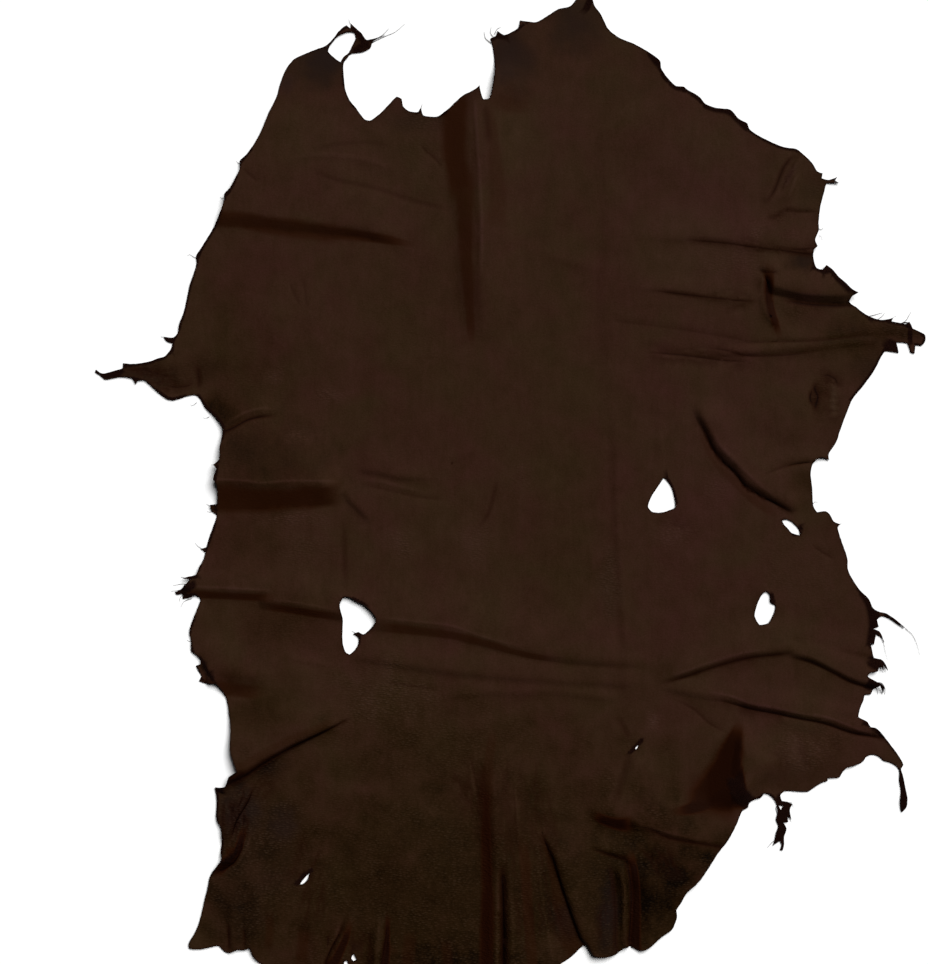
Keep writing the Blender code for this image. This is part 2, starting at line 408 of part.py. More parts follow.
def fold_rows(fold):
    """Points in rows along a fold, so that the mesh follows its crest and its foot."""
    crest = curve_through(fold.crest, FOLD_STEP)
    along = np.gradient(crest, axis=0)
    left = np.stack([-along[:, 1], along[:, 0]], axis=1) / np.linalg.norm(along, axis=1)[:, None]
    steep = along_run(fold.steep, np.linspace(0, 1, len(crest)))[:, None]
    rows = [crest]
    for share in ROWS_ON_FOLD:
        rows += [crest + left * fold.wide * share, crest - left * steep * share]
    return rows


def inner_points(rings):
    """The mesh's points inside the skin: rows along every fold, then a wide grid over the rest."""
    kept = np.concatenate(rings)
    edge_count = len(kept)
    grid = [
        (x, y + (i % 2) * FLAT_STEP / 2)
        for i, x in enumerate(np.arange(-52, 52, FLAT_STEP * 0.87))
        for y in np.arange(-62, 62, FLAT_STEP)
    ]
    rows = [(row, min(np.min(fold.steep) * 0.25, 0.45)) for fold in FOLDS for row in fold_rows(fold)]
    for points, gap in rows + [(np.array(grid), FLAT_STEP * 0.62)]:
        within = inside(points, rings[0])
        for hole in rings[1:]:
            within &= ~inside(points, hole)
        for point in points[within]:
            near_edge = np.linalg.norm(kept[:edge_count] - point, axis=1).min()
            near_point = np.linalg.norm(kept - point, axis=1).min()
            if near_edge > max(gap, 0.4) and near_point > gap:
                kept = np.vstack([kept, point])
    return kept[edge_count:]


def flat_skin():
    """The points and triangles of the skin laid out flat."""
    outline = [point for stretch in EDGE.values() for point in stretch]
    rings = [curve_through(outline, EDGE_STEP, closed=True)]
    rings += [curve_through(hole, EDGE_STEP, closed=True) for hole in HOLES.values()]
    points = np.concatenate(rings + [inner_points(rings)])
    borders = []
    first = 0
    for ring in rings:
        count = len(ring)
        borders += [(first + i, first + (i + 1) % count) for i in range(count)]
        first += count
    inside_only = 1
    found = delaunay_2d_cdt([Vector(point) for point in points], borders, [], inside_only, 1e-5)
    flat = np.array([(point.x, point.y) for point in found[0]])
    triangles = np.array(found[2])
    middles = flat[triangles].mean(axis=1)
    for hole in rings[1:]:
        is_skin = ~inside(middles, hole)
        triangles, middles = triangles[is_skin], middles[is_skin]
    return flat, triangles.tolist()


def leather():
    material = bpy.data.materials.new("dark brown leather")
    material.use_nodes = True
    shader = material.node_tree.nodes["Principled BSDF"]
    shader.inputs["Base Color"].default_value = LEATHER_COLOUR
    shader.inputs["Roughness"].default_value = LEATHER_ROUGHNESS
    shader.inputs["Metallic"].default_value = 0.0
    return material


def hide():
    """The whole skin: its flat triangles raised into the folds, then given their thickness."""
    flat, triangles = flat_skin()
    sheet = bmesh.new()
    corners = [sheet.verts.new((x * CM, y * CM, z * CM)) for (x, y), z in zip(flat, skin_height(flat))]
    for triangle in triangles:
        sheet.faces.new([corners[i] for i in triangle])
    bmesh.ops.delete(sheet, geom=[v for v in sheet.verts if not v.link_faces], context="VERTS")
    sheet.normal_update()
    made = bmesh.ops.extrude_face_region(sheet, geom=sheet.faces[:])["geom"]
    for vert in (item for item in made if isinstance(item, bmesh.types.BMVert)):
        vert.co.z += SKIN_THICKNESS * CM / max(vert.normal.z, STEEPEST)
    bmesh.ops.recalc_face_normals(sheet, faces=sheet.faces[:])
    mesh = bpy.data.meshes.new("hide")
    sheet.to_mesh(mesh)
    sheet.free()
    mesh.materials.append(leather())
    return bpy.data.objects.new("hide", mesh)


def main():
    for old in list(bpy.data.objects):
        bpy.data.objects.remove(old)
    collection = bpy.data.collections.new("leather hide")
    bpy.context.scene.collection.children.link(collection)
    collection.objects.link(hide())


main()
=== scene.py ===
"""A dark brown leather hide, laid out grain side up on a pale floor, in soft folds.

The hide lies in the XY plane, neck towards +Y and hind legs towards -Y. The tables below are in
centimetres from the middle of the back, with fold heights in millimetres; the mesh is in metres.
"""

import math
import random
from collections import namedtuple

import bmesh
import bpy
import numpy as np
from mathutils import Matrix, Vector, kdtree, noise
from mathutils.geometry import delaunay_2d_cdt, interpolate_bezier


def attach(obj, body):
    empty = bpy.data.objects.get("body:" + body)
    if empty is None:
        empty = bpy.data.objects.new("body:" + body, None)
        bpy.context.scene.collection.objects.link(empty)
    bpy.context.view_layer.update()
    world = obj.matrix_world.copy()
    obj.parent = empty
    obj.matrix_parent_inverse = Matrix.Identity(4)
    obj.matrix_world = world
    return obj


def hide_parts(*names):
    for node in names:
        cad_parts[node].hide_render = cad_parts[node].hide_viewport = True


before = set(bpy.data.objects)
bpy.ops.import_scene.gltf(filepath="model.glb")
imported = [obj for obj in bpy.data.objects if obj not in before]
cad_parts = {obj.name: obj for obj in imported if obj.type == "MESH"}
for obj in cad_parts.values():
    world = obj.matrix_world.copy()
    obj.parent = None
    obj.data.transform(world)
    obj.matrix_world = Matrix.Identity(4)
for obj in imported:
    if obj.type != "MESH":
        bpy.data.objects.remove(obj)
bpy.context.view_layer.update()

CM = 0.01
MM_IN_CM = 0.1

# Lengths from here to the materials are in cm.
SKIN_THICKNESS = 0.15
THINNEST = 0.06
TINY = 1e-6
SAME_POINT = 1e-5

# How fine the mesh is: the steps along its rows, where the rows lie, and the spread over the rest.
EDGE_STEP = 0.3
EDGE_ROWS = (0.16, 0.42)
FOLD_STEP = 0.55
HIGH_FOLD = 4  # in mm
HIGH_FOLD_ROWS = (0.12, 0.28, 0.45, 0.62, 0.8, 1)
LOW_FOLD_ROWS = (0.28, 0.62, 1)
WIDE_SIDE_ROWS = (0.1, 0.35, 0.62)
CREASE_STEP = 0.4
CREASE_ROWS = (0, -0.55, 0.55, -1, 1)
WRINKLE_ROWS = (0, -0.55, 0.55)
RAW_ROWS = (-0.7, 0.7, -1.15, 1.15)
FOLD_GRID = 0.46
FLAT_GRID = 0.8
SPREAD_BOX = ((-54, -64), (52, 63))
COLUMN_PITCH = 0.87
RAISED = 0.16
COARSE = 0.6
FAR_FROM_EDGE = 9

# How near to another point of the mesh each kind may lie.
RAW_GAP = 0.09
EDGE_GAP = 0.11
RIM_GAP = 0.14
WRINKLE_GAP = 0.15
CREASE_GAP = 0.17
FOLD_GAP = 0.2
FOLD_GRID_GAP = 0.72 * FOLD_GRID
FLAT_GRID_GAP = 0.5
LARGEST_GAP = FLAT_GRID_GAP

# How paths are followed when the skin is shaped and marked.
FOLD_REACH_STEP = 1
CREASE_REACH_STEP = 0.6
RAW_REACH_STEP = 0.5
WOBBLE_ROOM = 0.4
RAW_ROOM = 0.5
RAW_SHARPNESS = 6
CREST_SHARPNESS = 3
ROUND_END = 0.8
FLAT_CORE = 0.5
LONGEST_EASE = 3
EASE_SHARE = 0.3
CURL_REACH = 1.4
UPRIGHT_EDGE = 1
RIM_REACH = 0.2
WAVE_LIFT = 0.02
PATCH_STRAY = 0.35

# Smooth unevenness: how much there is, how fast it changes in a cm, and its own place in the noise.
Waves = namedtuple("Waves", "size scale seed")
EDGE_FRAY = Waves(0.035, 2.6, 5)
FOLD_WAVES = Waves(0.22, 0.21, 0)
BROAD_WAVES = Waves(0.035, 0.32, 3)
FINE_WAVES = Waves(0.018, 0.95, 8)
EDGE_CURL = Waves(0.3, 0.28, 21)
LINE_WOBBLE = Waves(0.35, 0.9, 40)
BAND_WOBBLE = Waves(0.35, 0.4, 40)
PATCH_WAVES = (Waves(1, 0.35, 60), Waves(0.5, 1.1, 62))
RAW_WAVES = Waves(0.3, 1.6, 70)
WRINKLE_WAVER = Waves(0.5, 0.45, 90)

# The chances in a fan: each wrinkle's place in its own share, where it starts and stops, its strength.
WRINKLE_PLACE = (0.2, 0.8)
WRINKLE_START = (0, 0.4)
WRINKLE_STOP = (0.65, 1)
WRINKLE_STRENGTH = (0.5, 1.2)
WRINKLE_STEP = 0.7

STRAND_STEP = 0.15
STRAND_TAPER = 0.7
STRAND_HEIGHT = 0.09
STRAND_DROP = 0.05

GRAIN_SLOT, FLESH_SLOT = 0, 1
SHARP_ANGLE = math.radians(60)

DYE_RED = (0.0262, 0.0092, 0.0054, 1)
DYE_OLIVE = (0.0232, 0.0115, 0.0046, 1)
DYE_COOL = (0.0120, 0.0062, 0.0046, 1)
# Painted highlight: the pale colour of glints on the pebbles.
PAINTED_GLINT = (0.0520, 0.0330, 0.0200, 1)
# Painted shade: the deep red-brown of the flat bands in the folds, also used for a few stains.
BAND_SHADE_AND_STAIN = (0.0165, 0.0038, 0.0006, 1)
# Painted shade in the grooves of creases and wrinkles, also the colour of dark scars.
GROOVE_SHADE_AND_SCAR = (0.0105, 0.0019, 0.0003, 1)
# Near black, for the darkest painted shade in bands and grooves and for the dark nap of the suede.
NEAR_BLACK = (0.0030, 0.0005, 0.0001, 1)
RAW_FIBRE = (0.0036, 0.0009, 0.0006, 1)
FLESH_SIDE = (0.0300, 0.0180, 0.0120, 1)
SHEEN = 0.02

# Cloudy patterns in the leather, and how some are drawn out and turned.
Clouds = namedtuple("Clouds", "scale detail roughness distortion factors turn", defaults=(0, None, 0))
BLOTCHES = Clouds(13, 4, 0.5, 0.4)
MOTTLE = Clouds(40, 4, 0.55, 0.3)
PATCHY = Clouds(30, 3, 0.5)
SPECKLE = Clouds(520, 2, 0.6)
STREAKS = Clouds(70, 3, 0.55, 0, (1, 0.16, 1))
BRUSHING = Clouds(210, 3, 0.6, 0, (1, 0.25, 1), 0.15)
WRINKLE = Clouds(260, 4, 0.6, 0.8, (1, 0.45, 1), 0.25)
FRAY = Clouds(900, 3, 0.7)
NAP = Clouds(700, 4, 0.7)
SUEDE = Clouds(22, 4, 0.6, 0.5)
FIBRE = Clouds(800, 3, 0.6)

# The pebbling: cells of a fine net, a little flattened and turned.
PEBBLE_SCALE = 310
PEBBLE_RANDOMNESS = 0.75
PEBBLE_FACTORS = (0.62, 1.3, 1)
PEBBLE_TURN = 0.3

# How far each pattern changes the dye. A shade darkens green and blue by a higher power than red.
BLOTCH_WARMTH = 0.9
BLOTCH_REACH = 0.16
STREAK_WARMTH = 0.08
STREAK_REACH = 0.15
FULL_WARMTH = 1.2
MOTTLE_TONE = 0.11
STREAK_TONE = 0.03
BRUSHING_TONE = 0.05
SPECKLE_TONE = 0.12
PEBBLE_TONE = 0.21
# How strong the painted glints on the pebbles are.
PEBBLE_GLINT = 0.24
RIM_RAWNESS = 0.85
DARKEST_SHADE = 0.1
GREEN_POWER = 1.1
BLUE_POWER = 2

# Two numbers are where a change starts and where it is full. Two more are its sizes at those places.
BLOTCHES_LEFT = (0.1, 0.7, 1, 0.35)
COARSENESS = (0.38, 0.62, 0.55, 1.1)
PEBBLE_SLOPE = (0.1, 0.66, 1, -0.6)
GLINT_CHANCE = (0.25, 0.75)
# How the painted shade of the flat bands deepens and then blackens.
BAND_DEEPENS = (0, 0.55)
BAND_BLACKENS = (0.45, 1)
# How the painted shade in the crease lines blackens.
LINE_BLACKENS = (0.5, 1)
FRAY_REDNESS = (0.4, 0.6, 0, 0.3)
SUEDE_OLIVE = (0.3, 0.7, 0, 0.6)
NAP_SHADE = (0.35, 0.65, 0, 0.45)
GRAIN_ROUGHNESS = (0.3, 0.7, 0.62, 0.74)
RAW_ROUGHNESS = 0.25
SUEDE_ROUGHNESS = 0.92
FIBRE_ROUGHNESS = 0.85

# How high the patterns stand in fine and in coarse grain, then each bump's strength and depth in metres.
PEBBLE_HEIGHT = (0.08, 0.8)
WRINKLE_HEIGHT = (0.5, 1.4)
FRAY_HEIGHT = 1.6
GRAIN_BUMP = (0.8, 0.0006)
SUEDE_BUMP = (0.8, 0.0005)
FIBRE_BUMP = (0.6, 0.0002)

# The studio, in metres, degrees and the lamp's own units.
FLOOR_COLOUR = (0.95, 0.95, 0.95, 1)
FLOOR_ROUGHNESS = 0.9
FLOOR_SHEEN = 0.1
FLOOR_REACH = 6
FLOOR_GAP = 0.0004
TO_KEY = Vector((0.42, 0.58, 1.0))
KEY_POWER = 4.3
KEY_WIDTH = 40
DOME_FROM = -0.1
DOME_LOW = 0.1
DOME_HIGH = 0.36
CAMERA_MIDDLE = (-0.07, -0.0025)
VIEW_HEIGHT = 1.205
LENS = 85
SENSOR = 36
FARTHEST_SEEN = 20

# The cut edge, counter-clockwise from the slit in the neck, one row for each stretch: (x, y).
EDGE = {
    "neck": [
        (-3.9, 47.5), (-4.6, 47.4), (-4.8, 47.9), (-5.1, 49.1), (-5.5, 48.7), (-7.1, 47.9), (-9.2, 46.1),
        (-10.4, 45.4), (-12.1, 45.6), (-12.4, 46.5), (-12.7, 46), (-13.9, 46.1), (-14.6, 46.7), (-14.8, 47.6),
        (-15.4, 47.9), (-16.4, 46.9), (-17.6, 45.7), (-18.8, 44.9), (-19.3, 45), (-20.6, 46.6), (-21.3, 47.5),
        (-21.8, 48.7), (-22, 50.2), (-22, 52.2),
    ],
    "left ear strap": [
        (-21.7, 52.6), (-21.2, 53.2), (-19.6, 53.5), (-18.7, 54), (-18.4, 54.8), (-16.9, 55.6), (-18.4, 55.1),
        (-19.2, 55), (-19.8, 55.8), (-20.7, 56.6), (-21.1, 57), (-21.2, 56.4), (-21.7, 56.8), (-22.5, 56.2),
        (-23.2, 55.3), (-24.2, 54.3), (-25.5, 53.8), (-27.2, 53.1), (-28.2, 52.6), (-29.2, 51.4),
        (-29.9, 49.7), (-30.4, 47.9), (-31.4, 45.8), (-32.5, 43.2),
    ],
    "left shoulder": [
        (-34.1, 40.7), (-35, 39.8), (-34.9, 39.2), (-35.7, 37.3), (-36.2, 36.4), (-36.9, 35.6), (-36.9, 35),
        (-38.1, 31.9), (-39.7, 29.2), (-40.5, 27.9), (-40.4, 27.2), (-41.3, 24.2), (-42, 21), (-42.6, 19.4),
        (-42.8, 18.3), (-43.3, 17.8), (-44.5, 17.9), (-44.2, 17.4), (-43.4, 17.1), (-43.6, 16.4),
        (-44.5, 15.4), (-45.3, 15.2),
    ],
    "left foreleg": [
        (-46, 14.9), (-48.3, 14.5), (-49.6, 14.6), (-49.6, 14), (-51.2, 13.5), (-52.2, 13.3), (-53, 13.8),
        (-53.1, 13.5), (-52.5, 13.1), (-51.9, 12.6), (-49.8, 12.9), (-48.4, 12.7), (-48, 12), (-47.7, 12.4),
        (-47, 12.5), (-45.2, 11), (-44, 10.1), (-43.2, 10), (-41.5, 10.5), (-40.5, 10.6), (-39.9, 10.1),
        (-39.4, 9.2), (-38.2, 8), (-37.2, 6.8),
    ],
    "left flank": [
        (-37.1, 5.8), (-37.4, 4.2), (-37.5, 2.5), (-38.2, 1.9), (-37.8, 1.4), (-38.2, 0.1), (-37.8, -0.5),
        (-37.9, -3), (-38.7, -3.1), (-38.5, -3.8), (-37.9, -4.4), (-38.4, -6), (-38.9, -7.4), (-39.2, -8.4),
        (-39.9, -8.6), (-39.3, -9), (-39.5, -9.9), (-40.1, -11), (-40.4, -11.8),
    ],
    "left flank tatters": [
        (-41.5, -12.1), (-42.1, -12.3), (-41.1, -12.4), (-41.6, -12.9), (-42.3, -13.6), (-43.1, -14),
        (-42.9, -14.3), (-42.1, -14.2), (-42.1, -14.8), (-41.2, -14.6), (-40.4, -14.3),
    ],
    "left haunch": [
        (-39.9, -14.8), (-40.4, -16.3), (-40.7, -17), (-41.3, -19.1), (-41.1, -19.9), (-41, -21.4),
        (-40.4, -21.8), (-39.8, -22.4), (-39.8, -22.9), (-40.5, -23.2), (-40.2, -23.8), (-39.8, -24.5),
        (-40.1, -25.1), (-39.3, -25.4), (-38, -25.4), (-37.3, -26.1), (-36.7, -27.2), (-36.3, -29.1),
        (-36.1, -31), (-36.1, -33.8), (-35.6, -35.4), (-35.3, -36.3),
    ],
    "left hind leg": [
        (-36.3, -37), (-36.6, -37.8), (-36.9, -38.3), (-38.1, -38.4), (-37.9, -39.6), (-37.8, -42.5),
        (-37.3, -43.4), (-37.2, -45), (-37.3, -46.7), (-37.2, -47.2), (-38, -48.4), (-38.7, -49.4),
        (-39, -50.9), (-39.4, -52.5), (-40, -55), (-40.6, -56.5), (-41.4, -58), (-41.3, -58.5),
    ],
    "rump": [
        (-39.9, -58.6), (-38.9, -58.4), (-37.6, -58.2), (-36.9, -58.9), (-36.3, -59.1), (-35.2, -58.6),
        (-34.5, -58.7), (-33.7, -58.4), (-33.3, -59.4), (-32.6, -60.2), (-30.6, -61.2), (-27, -61.7),
        (-22.5, -61.9), (-17, -62.2), (-11, -62.4), (-6, -62.7), (-3.4, -62.9), (-1.8, -62.4), (1, -62),
        (3.4, -61.4), (5.1, -60.4),
    ],
    "right haunch": [
        (6.2, -59.7), (7.1, -58.9), (7.7, -58.3), (8.4, -58), (8.9, -58.8), (9.2, -59.3), (10.4, -59.5),
        (11.8, -59.2), (12.7, -58.6), (13.6, -58.2), (14.6, -58.6), (15.3, -58.8), (16.1, -58.4),
        (17.6, -57.1), (19, -56.1), (19.3, -55.5), (19.6, -54.4), (19.5, -53.7), (20.1, -52.7), (20.7, -51.6),
        (22.1, -50.3), (23.1, -49), (24.6, -46.7), (25.9, -44.9), (27, -43), (27.8, -41.3), (28.5, -40.9),
        (28.6, -40.3), (29.3, -39.8), (30, -39.7), (30.5, -39.1), (31, -39.2), (31.6, -39.7),
    ],
    "twisted scrap": [
        (32, -40.3), (32.2, -41.6), (32, -42.4), (32.3, -43.2), (32, -44.1), (31.8, -45), (31.6, -45.7),
        (32, -45.4), (32.5, -45.1), (32.7, -45.6), (32.5, -46.2), (32.8, -46.3), (33, -45.5), (33, -44.6),
        (33.3, -43.5), (32.9, -42.8), (33.5, -42.7), (33.4, -41.9), (33.9, -42.4), (33.7, -41.2), (34, -40.5),
        (33.4, -40.2), (32.7, -40.1), (32.5, -39.4), (33, -38.9),
    ],
    "right hind leg": [
        (34.9, -38.9), (36, -38.9), (36.6, -38.5), (37.9, -37.7), (38.4, -37.6), (38.4, -37.2), (39.9, -37.1),
        (40.3, -36.4), (40.8, -35.9), (41.7, -35.7), (42.9, -35.1), (43.2, -34.6), (44, -34.3), (44.8, -34.5),
        (45.5, -35.1), (46.3, -35.3), (47.1, -35.8),
    ],
    "leaf-shaped scrap": [
        (47.4, -36.3), (47.4, -37.6), (47.6, -38.7), (47.5, -40.3), (47.7, -41.5), (48.2, -41), (48.4, -39.9),
        (48.1, -38.2), (47.8, -36.8), (47.6, -36.1),
    ],
    "right hock": [
        (47.9, -35.6), (47.8, -35.3), (47.2, -34.3), (46.3, -33.1), (45.3, -31.8), (44.3, -30.9),
        (43.7, -30.8), (43.3, -30.2), (42.2, -29.6),
    ],
    "right flank tatters": [
        (42.3, -29), (42.9, -27.5), (43.1, -26.8), (43.8, -26.8), (44.2, -26), (44.9, -25.6), (45.4, -26.6),
        (45.4, -25.7), (44.1, -25), (43.3, -24.5), (43.5, -24.1), (44.6, -23.9), (44.9, -23), (45.3, -23.8),
        (45.3, -23.1), (45.9, -23.8), (45.5, -22.8), (45, -22.4), (44.2, -22.2), (43.8, -20.4), (44.2, -20.6),
        (44.5, -19.3), (45.1, -19.6), (45.5, -20.3), (44.9, -18.9), (44.1, -18.6), (44.8, -18.3),
        (44.6, -17.4), (45.2, -17),
    ],
    "right flank string": [
        (46.2, -17.3), (47.1, -17.9), (48, -18.5), (47.2, -17.7), (46.3, -17), (45.6, -16.6),
    ],
    "right flank": [
        (45, -16.5), (44.1, -16), (43.6, -14.9), (42.5, -13.8), (41.6, -12.5), (41, -11.3), (40.9, -9.8),
        (40.3, -8), (39.7, -5.8), (40, -5.5), (39.2, -5.2), (38.7, -4.3), (38.2, -3.9), (37.1, -4),
        (36.7, -3.4), (36.5, -1), (36.3, 1.2), (36.9, 2.5), (37.6, 2.8), (38.6, 2.5), (38.5, 3.1),
        (39.5, 4.7), (40, 6.2), (40.7, 8.1), (41.6, 10.2), (42.9, 11.8), (44.2, 13.6), (45.2, 15.5),
    ],
    "right foreleg": [
        (45.6, 16.1), (47.3, 15.9), (47.2, 16.5), (47, 17.2), (48.4, 17.1), (48.7, 16.4), (48.8, 16),
        (49.3, 15.8), (49.4, 16.9), (50.2, 16.8), (50.6, 17.3), (50.6, 18.1), (49.6, 18.7), (49, 18.9),
        (48.8, 19.4), (48, 19.5), (46.4, 19.8), (46.6, 20.2), (45.6, 20), (44.9, 20), (43.5, 20.5),
        (42.2, 21.4), (41.1, 22.3), (41.4, 23), (42.1, 23.4), (41.3, 23.8), (40.5, 24.6), (39.6, 25.4),
        (38.9, 26.3), (38.2, 26.8), (37.7, 26.2), (37, 26.4), (36.7, 27.3),
    ],
    "right shoulder": [
        (36.7, 28.8), (37.1, 29.2), (36.8, 29.9), (37.3, 31.2), (37.3, 32), (37.5, 34), (38, 36),
        (38.3, 37.1), (39.8, 37.1), (39.3, 37.4), (39.6, 37.8), (38.6, 37.5), (37.7, 37.7), (37.8, 38.3),
        (37.2, 38.5), (36.5, 39.6), (35.1, 40.9), (34.5, 41.3), (33, 41.6), (31, 42.4), (28.6, 43.9),
        (28.4, 44.5), (27.3, 45.1), (26.3, 46.2), (24.3, 46.5), (23.2, 46.9), (22.3, 47.9), (20.8, 48.8),
        (20.5, 49.1), (19.5, 49.2), (18.4, 50.3), (17.6, 51.5), (17.5, 52.3), (16.1, 53.4), (14.2, 54.5),
        (12.3, 55.3), (11, 56.4), (10.1, 58.2), (9.3, 59.3), (9, 60.3),
    ],
    "head": [
        (8.2, 61.6), (7.1, 60.2), (6.3, 59.2), (4.8, 58.8), (3.6, 58.1), (2, 57.2), (0.8, 57.3), (0, 57.4),
        (-0.2, 56.5), (-1.1, 55.9), (-2, 55.6), (-2.8, 56.1), (-3, 55.5), (-3.7, 55.2), (-3.4, 54.2),
        (-3.2, 52.8), (-3.1, 51.6), (-3.4, 49.3), (-3.6, 48.3),
    ],
}

# The holes torn through the skin: (x, y).
HOLES = {
    "strap loop": [
        (-24, 53.6), (-23.9, 54), (-23.4, 54.7), (-22.9, 55.3), (-22.3, 55.7), (-21.4, 56), (-20.7, 55.9),
        (-20.5, 55.3), (-20.9, 54.4), (-21.4, 53.4), (-22.1, 52.8), (-22.4, 52.2), (-22.9, 52.5), (-23.5, 53),
    ],
    "left haunch": [
        (-22, -14.6), (-22.5, -15.5), (-22.4, -16.3), (-22.2, -17), (-22.1, -20.7), (-21.7, -21.6),
        (-21.3, -21.8), (-20.6, -21.2), (-20.2, -20.5), (-20.2, -19.6), (-20.8, -19.2), (-20.2, -19),
        (-19.6, -19.3), (-18.8, -18.7), (-18.1, -17.8), (-18, -17.3), (-18.6, -16.4), (-19.2, -15.8),
        (-20.5, -15.1), (-21.5, -14.6),
    ],
    "right side": [
        (18, 0.3), (17.1, -1), (16.3, -2.3), (16, -3.4), (16.4, -3.9), (17.3, -4.1), (18.6, -3.8),
        (19.4, -3.4), (19.4, -2.6), (18.8, -0.6),
    ],
    "right flank": [
        (32.7, -5.1), (33, -5.6), (33.4, -6), (33.9, -6.6), (35, -6.9), (34.9, -6.2), (34.5, -5.7),
        (33.8, -5.1), (33.1, -4.9),
    ],
    "right haunch": [
        (30.8, -13.9), (30.3, -14.2), (29.9, -14.9), (29.4, -16.3), (29.3, -17), (29.9, -18.1), (31, -17.9),
        (31.8, -16.4), (31.9, -15.6), (31.3, -15.3), (31.2, -14.3),
    ],
    "left leg slit": [(-26.3, -49.1), (-27, -49.8), (-27.5, -50.5), (-27.2, -50.5), (-26.5, -49.8)],
    "rump nick": [(-21, -59.4), (-21.1, -59.8), (-20.8, -60.1), (-20.4, -59.9), (-20.7, -59.2)],
    "rump nick below": [(-22, -60.1), (-22, -60.6), (-21.4, -60.6), (-21.6, -60)],
    "tear": [(14.4, -33.5), (14.5, -33.7), (14.75, -33.4), (14.8, -33.1)],
    "scrap eyelet": [(32.26, -40.6), (32.9, -40.7), (32.6, -41.25)],
    "armpit eyelet": [(31.2, 20.6), (31.2, 20.4), (31.4, 20.3), (31.4, 20.5)],
}

